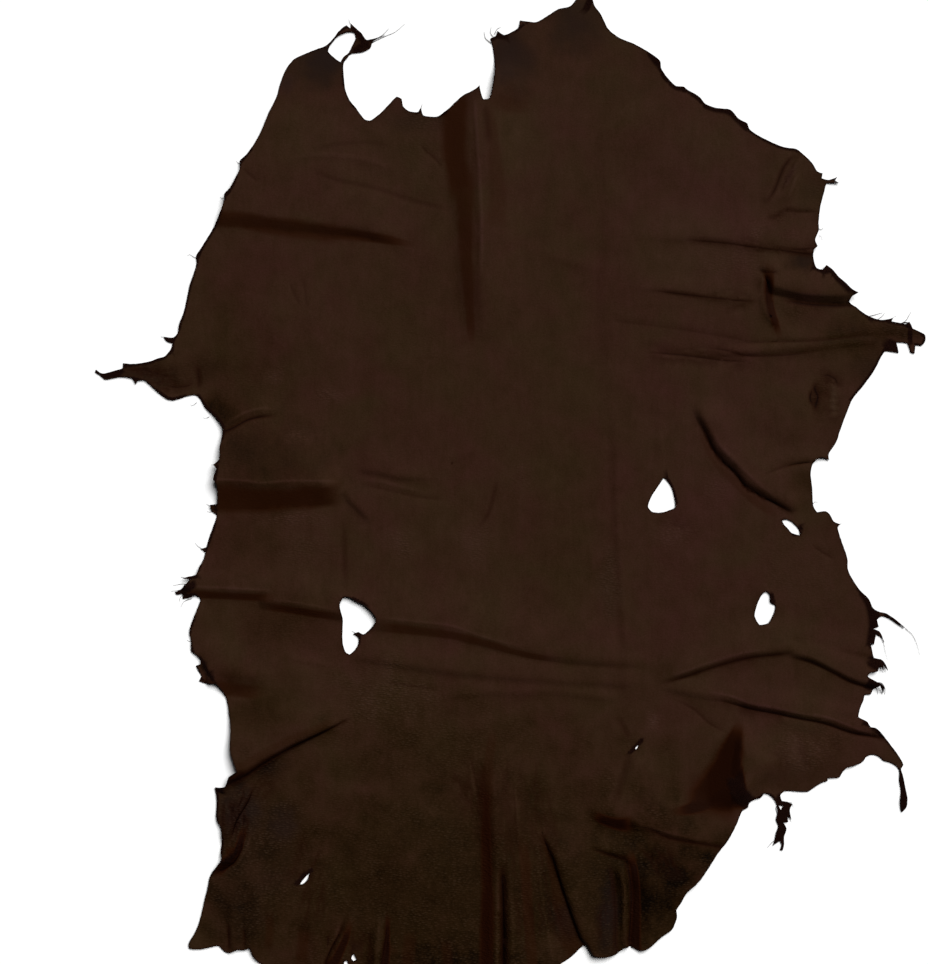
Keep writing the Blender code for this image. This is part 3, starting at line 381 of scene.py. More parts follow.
# Each fold is a ridge along its crest (x, y), HEIGHT in mm. On the left of its run it eases down over
# WIDE and on its right it drops over STEEP, or over a pair that changes along the run, and its crest
# leans TUCK over that side. CRISP is 0 for a rounded drop and 1 for a straight one with sharp ends. It
# fades in and out over FADE_IN and FADE_OUT of its run, or ends round where they are 0.
Fold = namedtuple("Fold", "name height wide steep tuck crisp fade_in fade_out crest")
FOLDS = [
    Fold("shoulder roll", 8, 10, (2.1, 1), 0, 0.65, 0, 4.5,
         [(-39, 33.7), (-37.2, 33.4), (-33, 33.2), (-28.7, 32.5), (-26, 32.3), (-23.9, 31.8), (-20.6, 31.6),
          (-18.2, 31), (-14, 29.9)]),
    Fold("neck pleat", 12, 6, (5, 2.8), 0, 0.5, 0, 10,
         [(-5.4, 50), (-5.5, 46), (-5.1, 41), (-5.2, 36), (-4.8, 31), (-5, 26), (-4.8, 21), (-5.3, 16)]),
    Fold("flank roll", 14, 11, (3.9, 2.4), 0, 0.95, 0, 3,
         [(-39, -0.1), (-36, -0.2), (-32, -0.4), (-27, -0.5), (-24, -0.6), (-21.6, -0.6)]),
    Fold("flank roll, end", 4, 3, 0.8, 0, 0.4, 1, 2.5,
         [(-22.6, -0.8), (-21.7, -1.7), (-20.7, -2.8), (-19.6, -3.8), (-18.2, -5.6)]),
    Fold("flank crease", 3, 3, 0.8, 0, 0.5, 1.5, 5,
         [(-20.6, 1.5), (-17.6, 1.2), (-15.3, 0.6), (-13, 0.5), (-9.6, 0.4)]),
    Fold("tatter roll", 6.5, 5.5, 1.3, 0, 0.7, 0, 2,
         [(-41.5, -13.5), (-39, -13.6), (-35.4, -13.7), (-32.2, -13.9), (-30, -14.1)]),
    Fold("haunch roll left of the hole", 7, 5.5, 1.25, 0, 0.7, 1.5, 0,
         [(-33, -14.9), (-30, -15.2), (-27.1, -15.7), (-24.6, -16.1), (-21.5, -16.6)]),
    Fold("haunch roll right of the hole", 6, 6.5, (1.8, 1.2), 0, 0.6, 0, 8,
         [(-19, -17.2), (-14.7, -17.6), (-11.2, -18), (-8.3, -18.5), (-4.5, -19.6), (0, -20.9), (5, -21.9),
          (11, -22.5), (18, -22.7)]),
    Fold("haunch ripple", 3.4, 3.4, 1.1, 0, 0.5, 3, 5,
         [(-21.4, -21.9), (-18.2, -22.2), (-15, -22.7), (-11.2, -23.3), (-8, -23.7), (-4, -24.2), (2, -24.7),
          (8, -25.1), (16.5, -25.1)]),
    Fold("haunch ripple, lower", 1.8, 2.4, 0.7, 0, 0.4, 3, 4,
         [(-10.2, -27), (-7.4, -26.8), (-3.9, -26.5), (-0.4, -26.5), (4, -26.4), (9, -26.9), (13.4, -27.4)]),
    Fold("haunch overlap", 13, 9, (2.4, 0.9), 0.45, 0.5, 0, 6,
         [(-37.5, -37.6), (-35.3, -36.6), (-32.9, -35), (-29.9, -33.3), (-26.8, -31.8), (-23.8, -30.6),
          (-20.6, -29.6)]),
    Fold("haunch dip", 8, 6.5, (3.2, 2), 0, 0.8, 0, 5,
         [(-38.5, -24.2), (-36, -24.2), (-33.2, -24.2), (-30, -23.8)]),
    Fold("hind leg crumple, upper", 5.5, 2.4, 0.7, 0.25, 0.3, 2, 2,
         [(-36.4, -46), (-36.3, -44.3), (-35.7, -42.5), (-34.5, -40.4), (-33.3, -38)]),
    Fold("hind leg crumple, lower", 6, 2, 0.9, 0.3, 0.3, 0, 2,
         [(-39.2, -49.2), (-37.6, -48.4), (-36, -47.4), (-35.1, -45.8), (-35.3, -43.7)]),
    Fold("left armpit", 4, 2.6, 0.8, 0.1, 0.3, 0, 4,
         [(-38.4, 5.6), (-36.7, 6.6), (-34.2, 8), (-32.5, 8.4), (-30.5, 8.5), (-28.6, 8.3)]),
    Fold("right shoulder pinch", 2.2, 1, 0.7, 0, 0.3, 1, 1,
         [(30.2, 34.6), (31.4, 35.8), (32.1, 37.7), (33.2, 39.6), (34.8, 40.9), (35.8, 41.4)]),
    Fold("right shoulder pinch, inner", 2.2, 1.4, 0.8, 0, 0.2, 1.5, 1.5,
         [(35, 38.4), (34.2, 37.2), (33.4, 36), (32.3, 34.7)]),
    Fold("right shoulder crease", 1.2, 1.2, 0.4, 0, 0.5, 0.8, 1.5,
         [(32.9, 34), (34, 34), (35.8, 33.9), (37.5, 33.8)]),
    Fold("right shoulder ripple", 3.4, 4.2, 0.9, 0, 0.4, 12, 0,
         [(13, 31), (18, 30.4), (24.9, 30), (28.8, 29.4), (32.6, 28.9), (38, 28.3)]),
    Fold("right arm ripple", 2.6, 2.6, 0.7, 0, 0.4, 9, 2,
         [(12, 24.4), (15, 24.1), (19.8, 23.6), (25.2, 22.7), (28, 22.5), (30.5, 22.6)]),
    Fold("right armpit", 3, 1.4, 0.5, 0, 0.3, 1, 1.5,
         [(30.3, 26), (30.2, 24.6), (30.2, 22.8), (30.7, 21), (31.6, 19.8), (32.4, 18.4)]),
    Fold("right foreleg overlap", 10, 4.6, 1.5, 0.35, 0.7, 0, 0,
         [(31.5, 24.3), (33.4, 23.9), (35.4, 23.5), (38, 23.3), (40, 23.2), (42.5, 23.2)]),
    Fold("right foreleg roll", 2.4, 2.4, 1, 0, 0.2, 5, 0,
         [(30, 18), (33, 17.8), (36, 17.6), (41, 18.2), (46, 18.8), (49, 18.6)]),
    Fold("right arm roll", 2.8, 0.9, 0.8, 0, 0.1, 6, 2,
         [(20, 16.2), (25, 16), (29, 16.2), (33, 16.6), (37, 16.8), (41, 17.2), (45, 17.6)]),
    Fold("right flank diagonal", 8, 5.5, 1.3, 0.3, 0.5, 3, 1.5,
         [(21.6, 9.9), (22.6, 8.5), (23.7, 6.5), (24.6, 4.6), (25.9, 3.1), (27.2, 1.8), (28.5, 0.1),
          (30.1, -0.9), (32.1, -2.1), (34.9, -3.8)]),
    Fold("right flank spur", 3.2, 1.8, 0.6, 0, 0.3, 1.5, 0,
         [(29.9, 0.7), (31.2, 1.5), (32.8, 2.2), (34.6, 2.5), (37.5, 2.6)]),
    Fold("right flank spur, lower", 4, 1.2, (1, 3.4), 0, 0.6, 1.5, 0,
         [(30.6, -0.2), (31.9, 0.6), (33.6, 1.1), (37.5, 1.1)]),
    Fold("right haunch crease", 2.6, 2.2, 0.6, 0, 0.4, 1.5, 0,
         [(30, -18.1), (31.9, -18.8), (33.5, -19.5), (37.3, -20), (40.5, -21.1), (44.5, -22)]),
    Fold("right haunch arc", 6.5, 4.5, 1.3, 0.1, 0.6, 5, 1.5,
         [(16.4, -25.4), (18, -24.8), (20.4, -23.9), (23.6, -22.8), (28.4, -21.5), (31.9, -21.1),
          (35.1, -20.7)]),
    Fold("right haunch branch", 6.5, 3.4, 1.1, 0.15, 0.5, 2, 0,
         [(33.2, -21.3), (36.3, -22), (38.9, -23.2), (41.4, -24.5), (44, -25.3), (46, -26)]),
    Fold("right haunch ripple", 3.4, 2.4, 0.9, 0, 0.3, 3, 0,
         [(17.2, -25.6), (20.4, -26.2), (22.9, -26.7), (26.1, -27.1), (28.4, -27.7)]),
    Fold("right hock roll", 6.5, 2.6, 1.1, 0.2, 0.5, 3, 0,
         [(26, -27), (28.7, -27.8), (31.9, -28.4), (35.1, -29.1), (38.2, -29.7), (41.4, -30.8), (44, -31.3),
          (46, -31.4)]),
    Fold("right hock roll, upper", 3, 1.4, 0.6, 0, 0.3, 2, 0,
         [(32.6, -27.8), (36.3, -28.1), (39.5, -28.7), (42.6, -29.3)]),
    Fold("right hind leg over the hollow", 15, 9, (1, 6), 0, 1, 3.5, 2.5,
         [(28.2, -29.8), (27.8, -31.6), (27.3, -34), (27.3, -36.2), (27.8, -38.2), (28.8, -40.6)]),
    Fold("under the tear", 3, 3.2, 1.3, 0, 0.3, 2, 3,
         [(15, -33.6), (14.4, -35.6), (13.9, -38), (13.6, -40.4)]),
    Fold("rump swag", 6, 6, 1.5, 0.1, 0.5, 2.5, 0,
         [(8.2, -40), (9.6, -41.4), (11.1, -42), (12.8, -42.3), (14.6, -42.6), (16.8, -43.2), (19, -43.9),
          (21.6, -44.4), (25.4, -45.2)]),
    Fold("rump swag, lower", 3.5, 1.8, 0.8, 0.1, 0.3, 1.5, 1.5,
         [(8.4, -45.4), (10.5, -46.1), (11.9, -46.5), (13.2, -47), (14.2, -48.4)]),
    Fold("rump drape at the spine", 9, 8, (2.8, 1.8), 0, 0.5, 14, 0,
         [(-3.9, -31), (-3.3, -36), (-3.3, -41), (-2.9, -46), (-2.8, -50), (-3.1, -56), (-3, -64)]),
    Fold("rump pleat 3", 3.5, 1.8, 1.6, 0, 0.2, 5, 0,
         [(0.4, -47), (1.1, -51.6), (2, -54.6), (2.9, -57.6), (3.8, -61.5)]),
    Fold("rump overlap", 9, 6.5, 1.2, 0.4, 0.5, 6, 0,
         [(2, -42.2), (3.2, -44.8), (4.4, -46.8), (5.2, -49.2), (6, -51.4), (6.9, -54), (7.8, -56.4),
          (9.2, -59.8)]),
    Fold("haunch pleat 1", 4, 2, 1.8, 0, 0.2, 3, 0, [(9.4, -48), (9.6, -51), (9.9, -55), (10.1, -61)]),
    Fold("haunch pleat 2", 8, 0.8, 1, 0.1, 0.3, 1.5, 0,
         [(12.5, -47.8), (12.9, -50.7), (13.1, -53), (13.2, -57.9), (13.2, -60)]),
    Fold("haunch pleat 3", 5, 5, 1.9, 0, 0.6, 3.5, 0,
         [(14.4, -47.6), (15.4, -49.6), (16, -52), (15.9, -55), (15.6, -60)]),
    Fold("rump gather 1", 6.5, 1.8, 1, 0.15, 0.5, 3, 0,
         [(-20.9, -53.2), (-21.4, -55.2), (-22.3, -57.2), (-23.5, -59.2), (-24, -60.4), (-24.2, -63)]),
    Fold("rump gather 2", 7, 1.6, 1, 0.15, 0.5, 0, 3,
         [(-17.9, -63.5), (-17.9, -60.4), (-17.6, -58.6), (-17.4, -56.7), (-17, -54)]),
    Fold("left leg drape 1", 4, 2.8, 2.4, 0, 0, 5, 0,
         [(-24.4, -46), (-24.8, -49.6), (-25.2, -53.5), (-25.9, -57), (-26.6, -62.5)]),
    Fold("left leg drape 2", 3, 1.8, 1.6, 0, 0, 3, 0,
         [(-32.4, -49.5), (-33, -53), (-33.3, -56), (-33.2, -60.5)]),
    Fold("left leg drape 3", 2.6, 1.6, 1, 0, 0.2, 3, 0, [(-35.6, -51.6), (-35.8, -55), (-35.6, -60)]),
    Fold("back nick", 1, 1.6, 0.5, 0, 0.4, 1.5, 3,
         [(2, 28.6), (3.9, 28), (5.8, 27.2), (8, 26.7), (10.3, 26.2)]),
]

# Places where the skin stands a little off the surface over a wide area, HEIGHT in mm.
Swell = namedtuple("Swell", "name height x y reach_x reach_y")
SWELLS = [
    Swell("left shoulder", 5, -27, 41, 9, 8),
    Swell("left ribs", 4, -29, 19, 10, 8),
    Swell("right shoulder", 5, 20, 43, 11, 8),
    Swell("right ribs", 4, 33, 8, 7, 6),
    Swell("left haunch", 6, -29, -24, 9, 5),
    Swell("left hind leg", 7, -33, -53, 8, 8),
    Swell("rump", 6, -13, -48, 10, 12),
    Swell("right haunch", 7, 21, -49, 7, 7),
    Swell("right hind leg", 8, 35, -34, 9, 5),
]

# Fine creases in the grain: (x, y). DEPTH is in mm, below 0 for a raised one, and 0 for a flat band, most of
# them painted shade down a fold's drop, under an overlap or in a hollow, a few of them stains. WIDTH is half
# of it, or a pair that changes along the run. DARK is how much darker the colour is made in it, painted shade
# in the grooves and bands besides a few real scars, or how much paler below 0, mostly painted highlight on
# the light lips and ridges of the folds. Their unevenness goes by their place in this list.
Crease = namedtuple("Crease", "name depth width dark path")
CREASES = [
    Crease("packing crease, neck", 0.5, 0.9, 0.12,
           [(9.6, 44.6), (9.8, 40), (10.2, 36), (10.3, 30), (9.9, 24), (10.2, 17), (10.6, 12)]),
    Crease("packing crease, back", 0.6, 0.7, 0.16,
           [(11.2, 9), (11.4, 2), (11.5, -3), (11.9, -10), (12.2, -16), (12.7, -23), (12.6, -29)]),
    Crease("packing crease, light side", -0.5, 0.5, 0,
           [(12.1, 9), (12.2, 2), (12.2, -4), (12.7, -12), (13.4, -22)]),
    Crease("side hole streak", -0.5, 0.25, 0, [(17.5, 11), (17.5, 5), (17.6, 1.2)]),
    Crease("hole to flank roll", 0.8, 0.6, 0.43, [(-22, -4.4), (-22, -7.5), (-21.9, -11.6), (-21.7, -14.4)]),
    Crease("shoulder ripple, dark", 0.5, 0.5, 0.24, [(-26.5, 41), (-23, 41.8), (-19, 42.1), (-15.5, 41.6)]),
    Crease("shoulder ripple, light", -0.8, 0.5, -0.12,
           [(-29.5, 39.9), (-26, 40.5), (-22, 40.4), (-18.5, 39.8), (-15.5, 38.6)]),
    Crease("shoulder line", 0.6, 0.5, 0.35,
           [(-26.2, 38.6), (-23.3, 37.5), (-18.2, 36.4), (-14.4, 35.2), (-11.2, 34.3), (-8.3, 33.7)]),
    Crease("shoulder nick", 0.7, 0.3, 0.43, [(-34.6, 39), (-33.6, 38), (-32.6, 37.2)]),
    Crease("neck crease", 0.8, 0.3, 0.51, [(-12.7, 42.4), (-11.8, 41.2), (-10.5, 40.1), (-9.5, 38.6)]),
    Crease("rib wrinkle 1", 0.5, 0.3, 0.36, [(-28.7, 25), (-28.4, 23.8), (-27.3, 21.6)]),
    Crease("rib wrinkle 2", 0.4, 0.3, 0.3, [(-27.2, 25.6), (-26.8, 23.4), (-26.6, 21)]),
    Crease("leg root crease", 1.4, 0.55, 0.75, [(-40.5, 14.6), (-40.2, 13.4), (-40.1, 12.2), (-40.4, 11)]),
    Crease("leg wrinkle 1", 0.8, 0.25, 0.51, [(-46.4, 13.9), (-45, 13.6), (-43, 13.8)]),
    Crease("leg wrinkle 2", 0.8, 0.25, 0.51, [(-49, 13.6), (-47.2, 13.3), (-45.2, 12.6)]),
    Crease("spine crease", 0.8, 0.4, 0.46, [(-2.8, 0.6), (-3.3, -1.8), (-4, -4.2), (-5.6, -6.4)]),
    Crease("right shoulder pinch groove", 1.2, 0.45, 0.8,
           [(35, 40.9), (33.6, 40), (32.9, 39), (32.3, 37.6), (31.8, 36.3), (31, 35.1), (30, 34.5)]),
    Crease("right shoulder pinch, light 1", -0.8, 0.3, -0.2,
           [(35.2, 40.2), (34.2, 38.9), (33.5, 37.4), (32.8, 35.6)]),
    Crease("right shoulder pinch, light 2", -0.7, 0.25, -0.22,
           [(34.9, 38.4), (34.2, 37.2), (33.8, 36), (33.3, 35)]),
    Crease("right shoulder pinch, dark 2", 0.8, 0.25, 0.8,
           [(34.4, 40), (33.9, 38.6), (33.2, 37.2), (32.6, 35.9)]),
    Crease("right shoulder pinch, foot", 0.8, 0.5, 0.51,
           [(30.4, 32.8), (31.6, 32.8), (33, 33.6), (34.4, 34)]),
    Crease("right shoulder stitch crease", 1, 0.25, 0.51, [(32.8, 33.6), (34.4, 33.5), (37.2, 33.6)]),
    Crease("right shoulder ripple groove", 0.9, 0.34, 0.8,
           [(20, 30.1), (24.9, 29.7), (29.4, 29.1), (32.6, 28.7), (36.6, 28.2), (39.8, 27.9)]),
    Crease("right shoulder ripple groove 2", 0.9, 0.25, 0.8,
           [(30, 29.5), (33.4, 28.9), (36.8, 28.9), (40, 29.1)]),
    Crease("right shoulder ripple, lower", -0.7, 0.5, 0, [(28.4, 26.4), (31, 26.7), (35.1, 26.6)]),
    Crease("armpit top", 1.1, 0.25, 0.8, [(29.8, 26.1), (31.2, 26.1), (32.5, 26.2)]),
    Crease("armpit groove", 1.2, (0.7, 0.35), 0.75,
           [(31, 26), (30.85, 24), (30.8, 22.4), (31, 20.9), (31.6, 20), (32.3, 18.8)]),
    Crease("arm ripple groove", 0.8, 0.32, 0.8,
           [(16, 23.8), (20, 23.3), (24.9, 22.7), (28.1, 22.4), (30.4, 22.6)]),
    Crease("faint arm ripple", 0.7, 0.35, 0.36,
           [(10.3, 20), (14, 19.6), (18, 19.1), (22, 18.5), (27.2, 17.6), (29.6, 17.2)]),
    Crease("arm roll, line above", 0.9, 0.28, 0.51,
           [(26, 17.2), (29.5, 17.2), (34, 17.3), (38, 17.5), (44, 18.2)]),
    Crease("arm roll, line below", 1, 0.32, 0.8,
           [(15.4, 15.9), (18.4, 15.8), (22, 15.4), (25, 15), (29.4, 14.8)]),
    Crease("arm roll, second line below", 1, 0.34, 0.75,
           [(22.1, 16.6), (25.6, 16.2), (28.1, 15.6), (31, 15.5), (34.2, 15.7), (37.4, 16.1)]),
    Crease("foreleg overlap groove", 1.4, 0.45, 0.9,
           [(32.1, 22.6), (34.2, 22.2), (36.7, 21.9), (41.2, 21.8), (44.4, 22)]),
    Crease("tear trough", 1.2, 0.7, 0.46, [(13.8, -34), (13, -36.4), (12.3, -38.9), (11.6, -40.8)]),
    Crease("above the tear", 0.8, 0.6, 0.51, [(12.2, -29.4), (13, -31), (13.7, -32.7)]),
    Crease("tear lens", 1.4, (0.14, 0.5), 1, [(12.9, -34.9), (13.7, -34), (14.5, -33.2), (15.6, -32.1)]),
    Crease("armpit band", 0, (0.8, 0.4), 0.68,
           [(31.2, 27.6), (31.1, 25.2), (31.1, 23), (31.4, 21.2), (32, 19.2), (32.7, 17.2)]),
    Crease("diagonal, warm side", 0, (0.7, 0.8), 0.24,
           [(22.4, 6.6), (24.4, 2.6), (27, -0.3), (30, -3), (33, -4.6)]),
    Crease("diagonal, light side", -0.5, 0.26, -0.22,
           [(24.2, 5.8), (26, 3.6), (28.4, 1.2), (30.4, -0.6), (32.6, -2.2)]),
    Crease("to the hollow", 0.8, 0.3, 0.51, [(19.1, -27.3), (21.7, -28.6), (23.6, -30.3), (26, -31.6)]),
    Crease("haunch line", 0.6, 0.3, 0.43, [(-17.6, -25.1), (-14.4, -25.6), (-11.2, -26.1), (-9.7, -26.7)]),
    Crease("haunch light line", -0.7, 0.4, 0, [(-29.7, -22), (-27.1, -22.5), (-24.6, -23), (-22.4, -23.3)]),
    Crease("haunch dip line", -0.6, 0.4, 0, [(-36.6, -27.6), (-34.5, -27.6), (-32.2, -27.1), (-29.6, -26.6)]),
    Crease("slit crease", 1, 0.3, 0.51, [(-26.4, -49), (-25.6, -47.6), (-24.9, -46)]),
    Crease("slit flap", 1.3, 0.35, 0.9, [(-27.8, -50.2), (-27.2, -49.3), (-26.4, -48.7)]),
    Crease("leg trough", 1, 0.9, 0.43, [(-27, -43.4), (-27.4, -46), (-28.2, -48.6), (-29.4, -51)]),
    Crease("hind leg crumple groove", 1.3, 0.5, 1,
           [(-32.9, -37.2), (-34.2, -40.1), (-35.5, -42.2), (-36.2, -44.5), (-36.4, -46)]),
    Crease("hind leg fold, black", 0, (0.5, 1), 1,
           [(-34.3, -43), (-34.8, -44.6), (-35.6, -46.4), (-36.9, -47.9), (-38.6, -49.6)]),
    Crease("hind leg fold, light side", -0.8, 0.26, -0.3,
           [(-33.6, -43.4), (-34, -45.6), (-35, -47.4), (-36.2, -48.8)]),
    Crease("hind leg crumple, side", 1, 0.3, 0.8, [(-36.9, -40), (-37.2, -42.4), (-37, -44.6)]),
    Crease("hind leg crumple groove, lower", 1.4, (0.4, 0.7), 1,
           [(-35.3, -43.7), (-35, -45.5), (-35.9, -47.6), (-37.4, -48.6), (-38.7, -49.3)]),
    Crease("hind leg crumple shade", 0, (0.5, 1.1), 0.5, [(-36.4, -45.4), (-36.2, -47), (-37, -48)]),
    Crease("hind leg drip 1", 1.2, 0.4, 0.8, [(-36.4, -55), (-36.3, -56.8), (-36.3, -59.1)]),
    Crease("hind leg drip 2", 1, 0.4, 0.51, [(-34.5, -55.4), (-34.4, -57), (-34.4, -58.8)]),
    Crease("gather groove 1", 2, 0.5, 0.9,
           [(-21.6, -54.6), (-22.3, -56.4), (-23.4, -58.4), (-24, -60), (-24.2, -61.6), (-25, -64.6)]),
    Crease("gather groove 2", 2.2, 0.5, 0.95,
           [(-16.7, -53.8), (-16.8, -56.4), (-17.1, -58.4), (-17.4, -60.4), (-17.6, -62.4), (-17.9, -65.4)]),
    Crease("gather, red band", 0.4, 0.7, 0.54, [(-18.9, -56), (-18.7, -58.4), (-18.8, -61)]),
    Crease("gather 2 band", 0, (0.3, 0.9), 0.85, [(-16.5, -53.6), (-16.6, -57), (-16.9, -61), (-17.2, -65)]),
    Crease("gather 1 band", 0, (0.3, 0.9), 0.8,
           [(-20.9, -54.4), (-21.7, -57.3), (-23.2, -60.4), (-25.2, -64)]),
    Crease("bottom shade 1", 0, 0.9, 0.3, [(-26.9, -55.6), (-27.1, -58), (-27.4, -61)]),
    Crease("bottom shade 2", 0, 0.7, 0.26, [(-31.4, -53.4), (-31.2, -56), (-31.6, -59)]),
    Crease("bottom shade 3", 0, 1, 0.26, [(-13.6, -56), (-13.9, -59), (-14.2, -62)]),
    Crease("bottom shade 4", 0, 0.8, 0.22, [(-9.4, -57), (-9, -60), (-8.8, -62.6)]),
    Crease("spine trough", 0.8, 1.1, 0.51,
           [(-5.2, -35), (-4.4, -40), (-4, -44.9), (-3.9, -49), (-4.1, -53), (-4.2, -62.5), (-4.4, -66)]),
    Crease("pleat trough", 7, 0.85, 1,
           [(-2.35, -47.2), (-2.25, -49.4), (-2.15, -52), (-2.1, -56), (-2.05, -60.4), (-2, -62.9),
            (-2, -66.5)]),
    Crease("pleat trough, lower", 3, 0.8, 0.9,
           [(-2.1, -53), (-2, -57), (-1.95, -60.4), (-1.9, -63.5), (-1.9, -66.5)]),
    Crease("overlap groove", 1.6, 0.45, 1,
           [(2.4, -43.2), (3.3, -45), (4.3, -46.8), (5, -49.2), (5.6, -51.4), (6.5, -54.1), (7.4, -56.5),
            (8.3, -58.2), (9.5, -61.2)]),
    Crease("pleat arch", 1.1, 0.5, 0.74,
           [(8.8, -45.9), (10.5, -46.5), (11.9, -47), (13.3, -47.1), (14, -48.4)]),
    Crease("haunch pleat groove", 6, 0.45, 1,
           [(12.9, -46.6), (13.5, -48.6), (13.9, -51), (13.85, -54.3), (13.7, -58.4), (13.7, -60),
            (13.7, -63.4)]),
    Crease("haunch pleat groove, left", 1.2, 0.5, 0.8,
           [(11, -47.4), (11.6, -50), (12, -54.5), (12.1, -58.8), (12.2, -62)]),
    Crease("swag groove", 1.2, 0.5, 0.75,
           [(14.6, -43.3), (16.4, -43.6), (18.4, -44.5), (20.8, -45), (24.4, -45.6), (27.6, -46.4)]),
    Crease("spur line", 1, 0.25, 0.51, [(29.9, 0.5), (31.9, 1.4), (34, 1.9), (36.2, 2.2), (39, 2.6)]),
    Crease("diagonal groove", 1.3, (0.45, 0.35), 0.95,
           [(22.4, 7.7), (23.6, 5.4), (24.4, 3.6), (25.6, 2), (27.1, 0.8), (28.3, -0.9), (29.8, -1.9),
            (32.2, -3), (34.6, -4.2)]),
    Crease("diagonal light lip", -0.8, 0.3, 0,
           [(23.2, 8.2), (24.6, 5.4), (25.9, 3.6), (27.4, 2.4), (28.9, 0.7), (30.6, -0.4)]),
    Crease("right flank line", 0.7, 0.25, 0.51, [(36.4, -8.1), (37.8, -9), (39.4, -9.9)]),
    Crease("neck pleat, short band", 0.8, 0.65, 0.51, [(-4.5, 47.2), (-4.3, 45.4), (-4.1, 43.6), (-4, 41.4)]),
    Crease("neck pleat, warm side", 0, (0.6, 1.6), 0.2,
           [(-4, 47.6), (-3.5, 43), (-3.1, 39), (-2.9, 35), (-3.1, 30.4)]),
    Crease("neck notch stain", 0, (1.5, 0.9), 0.15, [(-3.4, 49), (-2.8, 47.4), (-0.6, 46.7), (2, 46.6)]),
    Crease("neck pleat, light lip", -0.6, 0.3, -0.34,
           [(-5.7, 48.4), (-5.3, 42), (-5, 37), (-4.8, 31), (-4.9, 25)]),
    Crease("arc groove", 0.9, (0.5, 0.4), 0.78,
           [(17.2, -25.6), (20.4, -24.5), (23.6, -23.4), (28.4, -22.1), (31.9, -21.7), (34.8, -21.4)]),
    Crease("branch groove", 1, 0.4, 0.8,
           [(33.6, -21.9), (36.3, -22.6), (38.9, -23.8), (41.4, -25.1), (44, -25.9), (47.2, -27)]),
    Crease("hock roll groove", 1, (0.3, 0.5), 0.8,
           [(24, -27.2), (28.7, -28.5), (31.9, -29.1), (35.1, -29.8), (38.2, -30.4), (41.4, -31.5),
            (44, -31.9), (47, -33.1)]),
    Crease("haunch overlap groove", 1.4, (1, 0.3), 1,
           [(-39.8, -39.4), (-36.8, -37.8), (-35.1, -36.9), (-32.7, -35.3), (-29.8, -33.6), (-26.7, -32.1),
            (-23.7, -30.8), (-20.6, -29.5)]),
    Crease("haunch overlap shade", 0, (1.1, 0.6), 0.2,
           [(-38.8, -37.6), (-35.8, -36.2), (-32.4, -34), (-29, -32.2), (-25.8, -30.8), (-22.6, -29.6)]),
    Crease("neck pleat band", 0, (2.3, 1.6), 0.44,
           [(-8.6, 49.6), (-8.1, 45), (-8.2, 41), (-7.6, 37.4), (-7.2, 34)]),
    Crease("neck pleat band, lower", 0, (1.7, 0.5), 0.38,
           [(-6.9, 40), (-6.9, 36), (-6.8, 32), (-6.7, 28), (-6.4, 24), (-6.2, 20), (-6, 16.4)]),
    Crease("neck pleat edge", 0.3, 0.6, 0.2, [(-5.7, 46), (-5.6, 40), (-5.4, 34), (-5.3, 28), (-5.4, 20)]),
    Crease("hollow, wedge", 0, (0.3, 4.6), 0.7,
           [(27.6, -29.6), (26.5, -33.4), (25.4, -36.6), (24.3, -39.4), (23.5, -42.8)]),
    Crease("hollow, foot", 0, (0.4, 2.2), 0.76,
           [(18.4, -41.5), (21.2, -41), (24.2, -40), (27, -39.1), (28.8, -38.7)]),
    Crease("hollow, right side", 0, (0.35, 0.9), 0.8,
           [(27.6, -30.2), (27.2, -33), (26.9, -35.6), (26.8, -39)]),
    Crease("hollow, core", 0, (0.3, 1.7), 0.92, [(27.3, -34.4), (27.3, -36.6), (27.2, -38.8), (27, -42)]),
    Crease("flank roll band", 0, (2.2, 1.5), 0.45,
           [(-42, -2.2), (-38.6, -2.2), (-33, -2.5), (-28, -2.3), (-22, -1.8)]),
    Crease("shoulder roll band", 0, (1, 1.6), 0.4,
           [(-42.4, 33.2), (-38.6, 32.7), (-35, 32.5), (-31.6, 31.8), (-28, 31.3), (-24.6, 30.9),
            (-21.6, 30.7)]),
    Crease("shoulder roll band, right", 0, (1.4, 0.4), 0.42,
           [(-27, 31.2), (-24, 30.9), (-21, 30.6), (-17.6, 30.2), (-12.8, 29.3)]),
    Crease("tatter roll band", 0, 0.6, 0.45,
           [(-44, -14.2), (-40.6, -14.2), (-37, -14.4), (-33, -14.6), (-30, -14.8)]),
    Crease("haunch roll band", 0, 0.6, 0.45,
           [(-32.8, -15.6), (-30, -16), (-27.1, -16.4), (-24.6, -16.8), (-21.8, -17.2)]),
    Crease("haunch roll band, right", 0, (0.8, 0.4), 0.34,
           [(-18.4, -18.2), (-14.7, -18.6), (-11.2, -19), (-8.3, -19.4), (-4.5, -20.3), (0, -21.6),
            (5, -22.5)]),
    Crease("spine band, upper", 0, (0.5, 1.3), 0.22, [(-3.2, -30.6), (-4, -36), (-4.4, -43)]),
    Crease("spine band", 0, (0.5, 1.4), 0.58,
           [(-4.1, -37.6), (-4.2, -46), (-4, -52), (-4.2, -62), (-4.2, -66)]),
    Crease("rump overlap band", 0, (0.5, 1.6), 0.25,
           [(2.4, -43.6), (3.6, -46.6), (4.4, -50), (5.2, -54), (6.6, -58.6), (7.6, -61.6)]),
    Crease("right pleat band", 0, (0.5, 1), 0.84,
           [(13.6, -45.8), (14.3, -49), (14.5, -52), (14.4, -57.6), (14.4, -62.4)]),
    Crease("swag hollow", 0, (0.6, 1.3), 0.82, [(9, -41.4), (10.6, -42.4), (12.6, -42.9), (14.4, -42.8)]),
    Crease("red streak down the rump", 0, 0.8, 0.3, [(0.2, -44), (0.7, -49), (1, -54), (1.6, -61), (2, -65)]),
    Crease("dip in the haunch", 0, (1.6, 0.9), 0.36,
           [(-41.4, -25.6), (-38, -26), (-35.6, -26.2), (-33.2, -26.4), (-31.4, -26.2)]),
    Crease("swag, lower hollow", 0, 0.9, 0.12, [(17.4, -49), (19.2, -49.3), (21, -49.1)]),
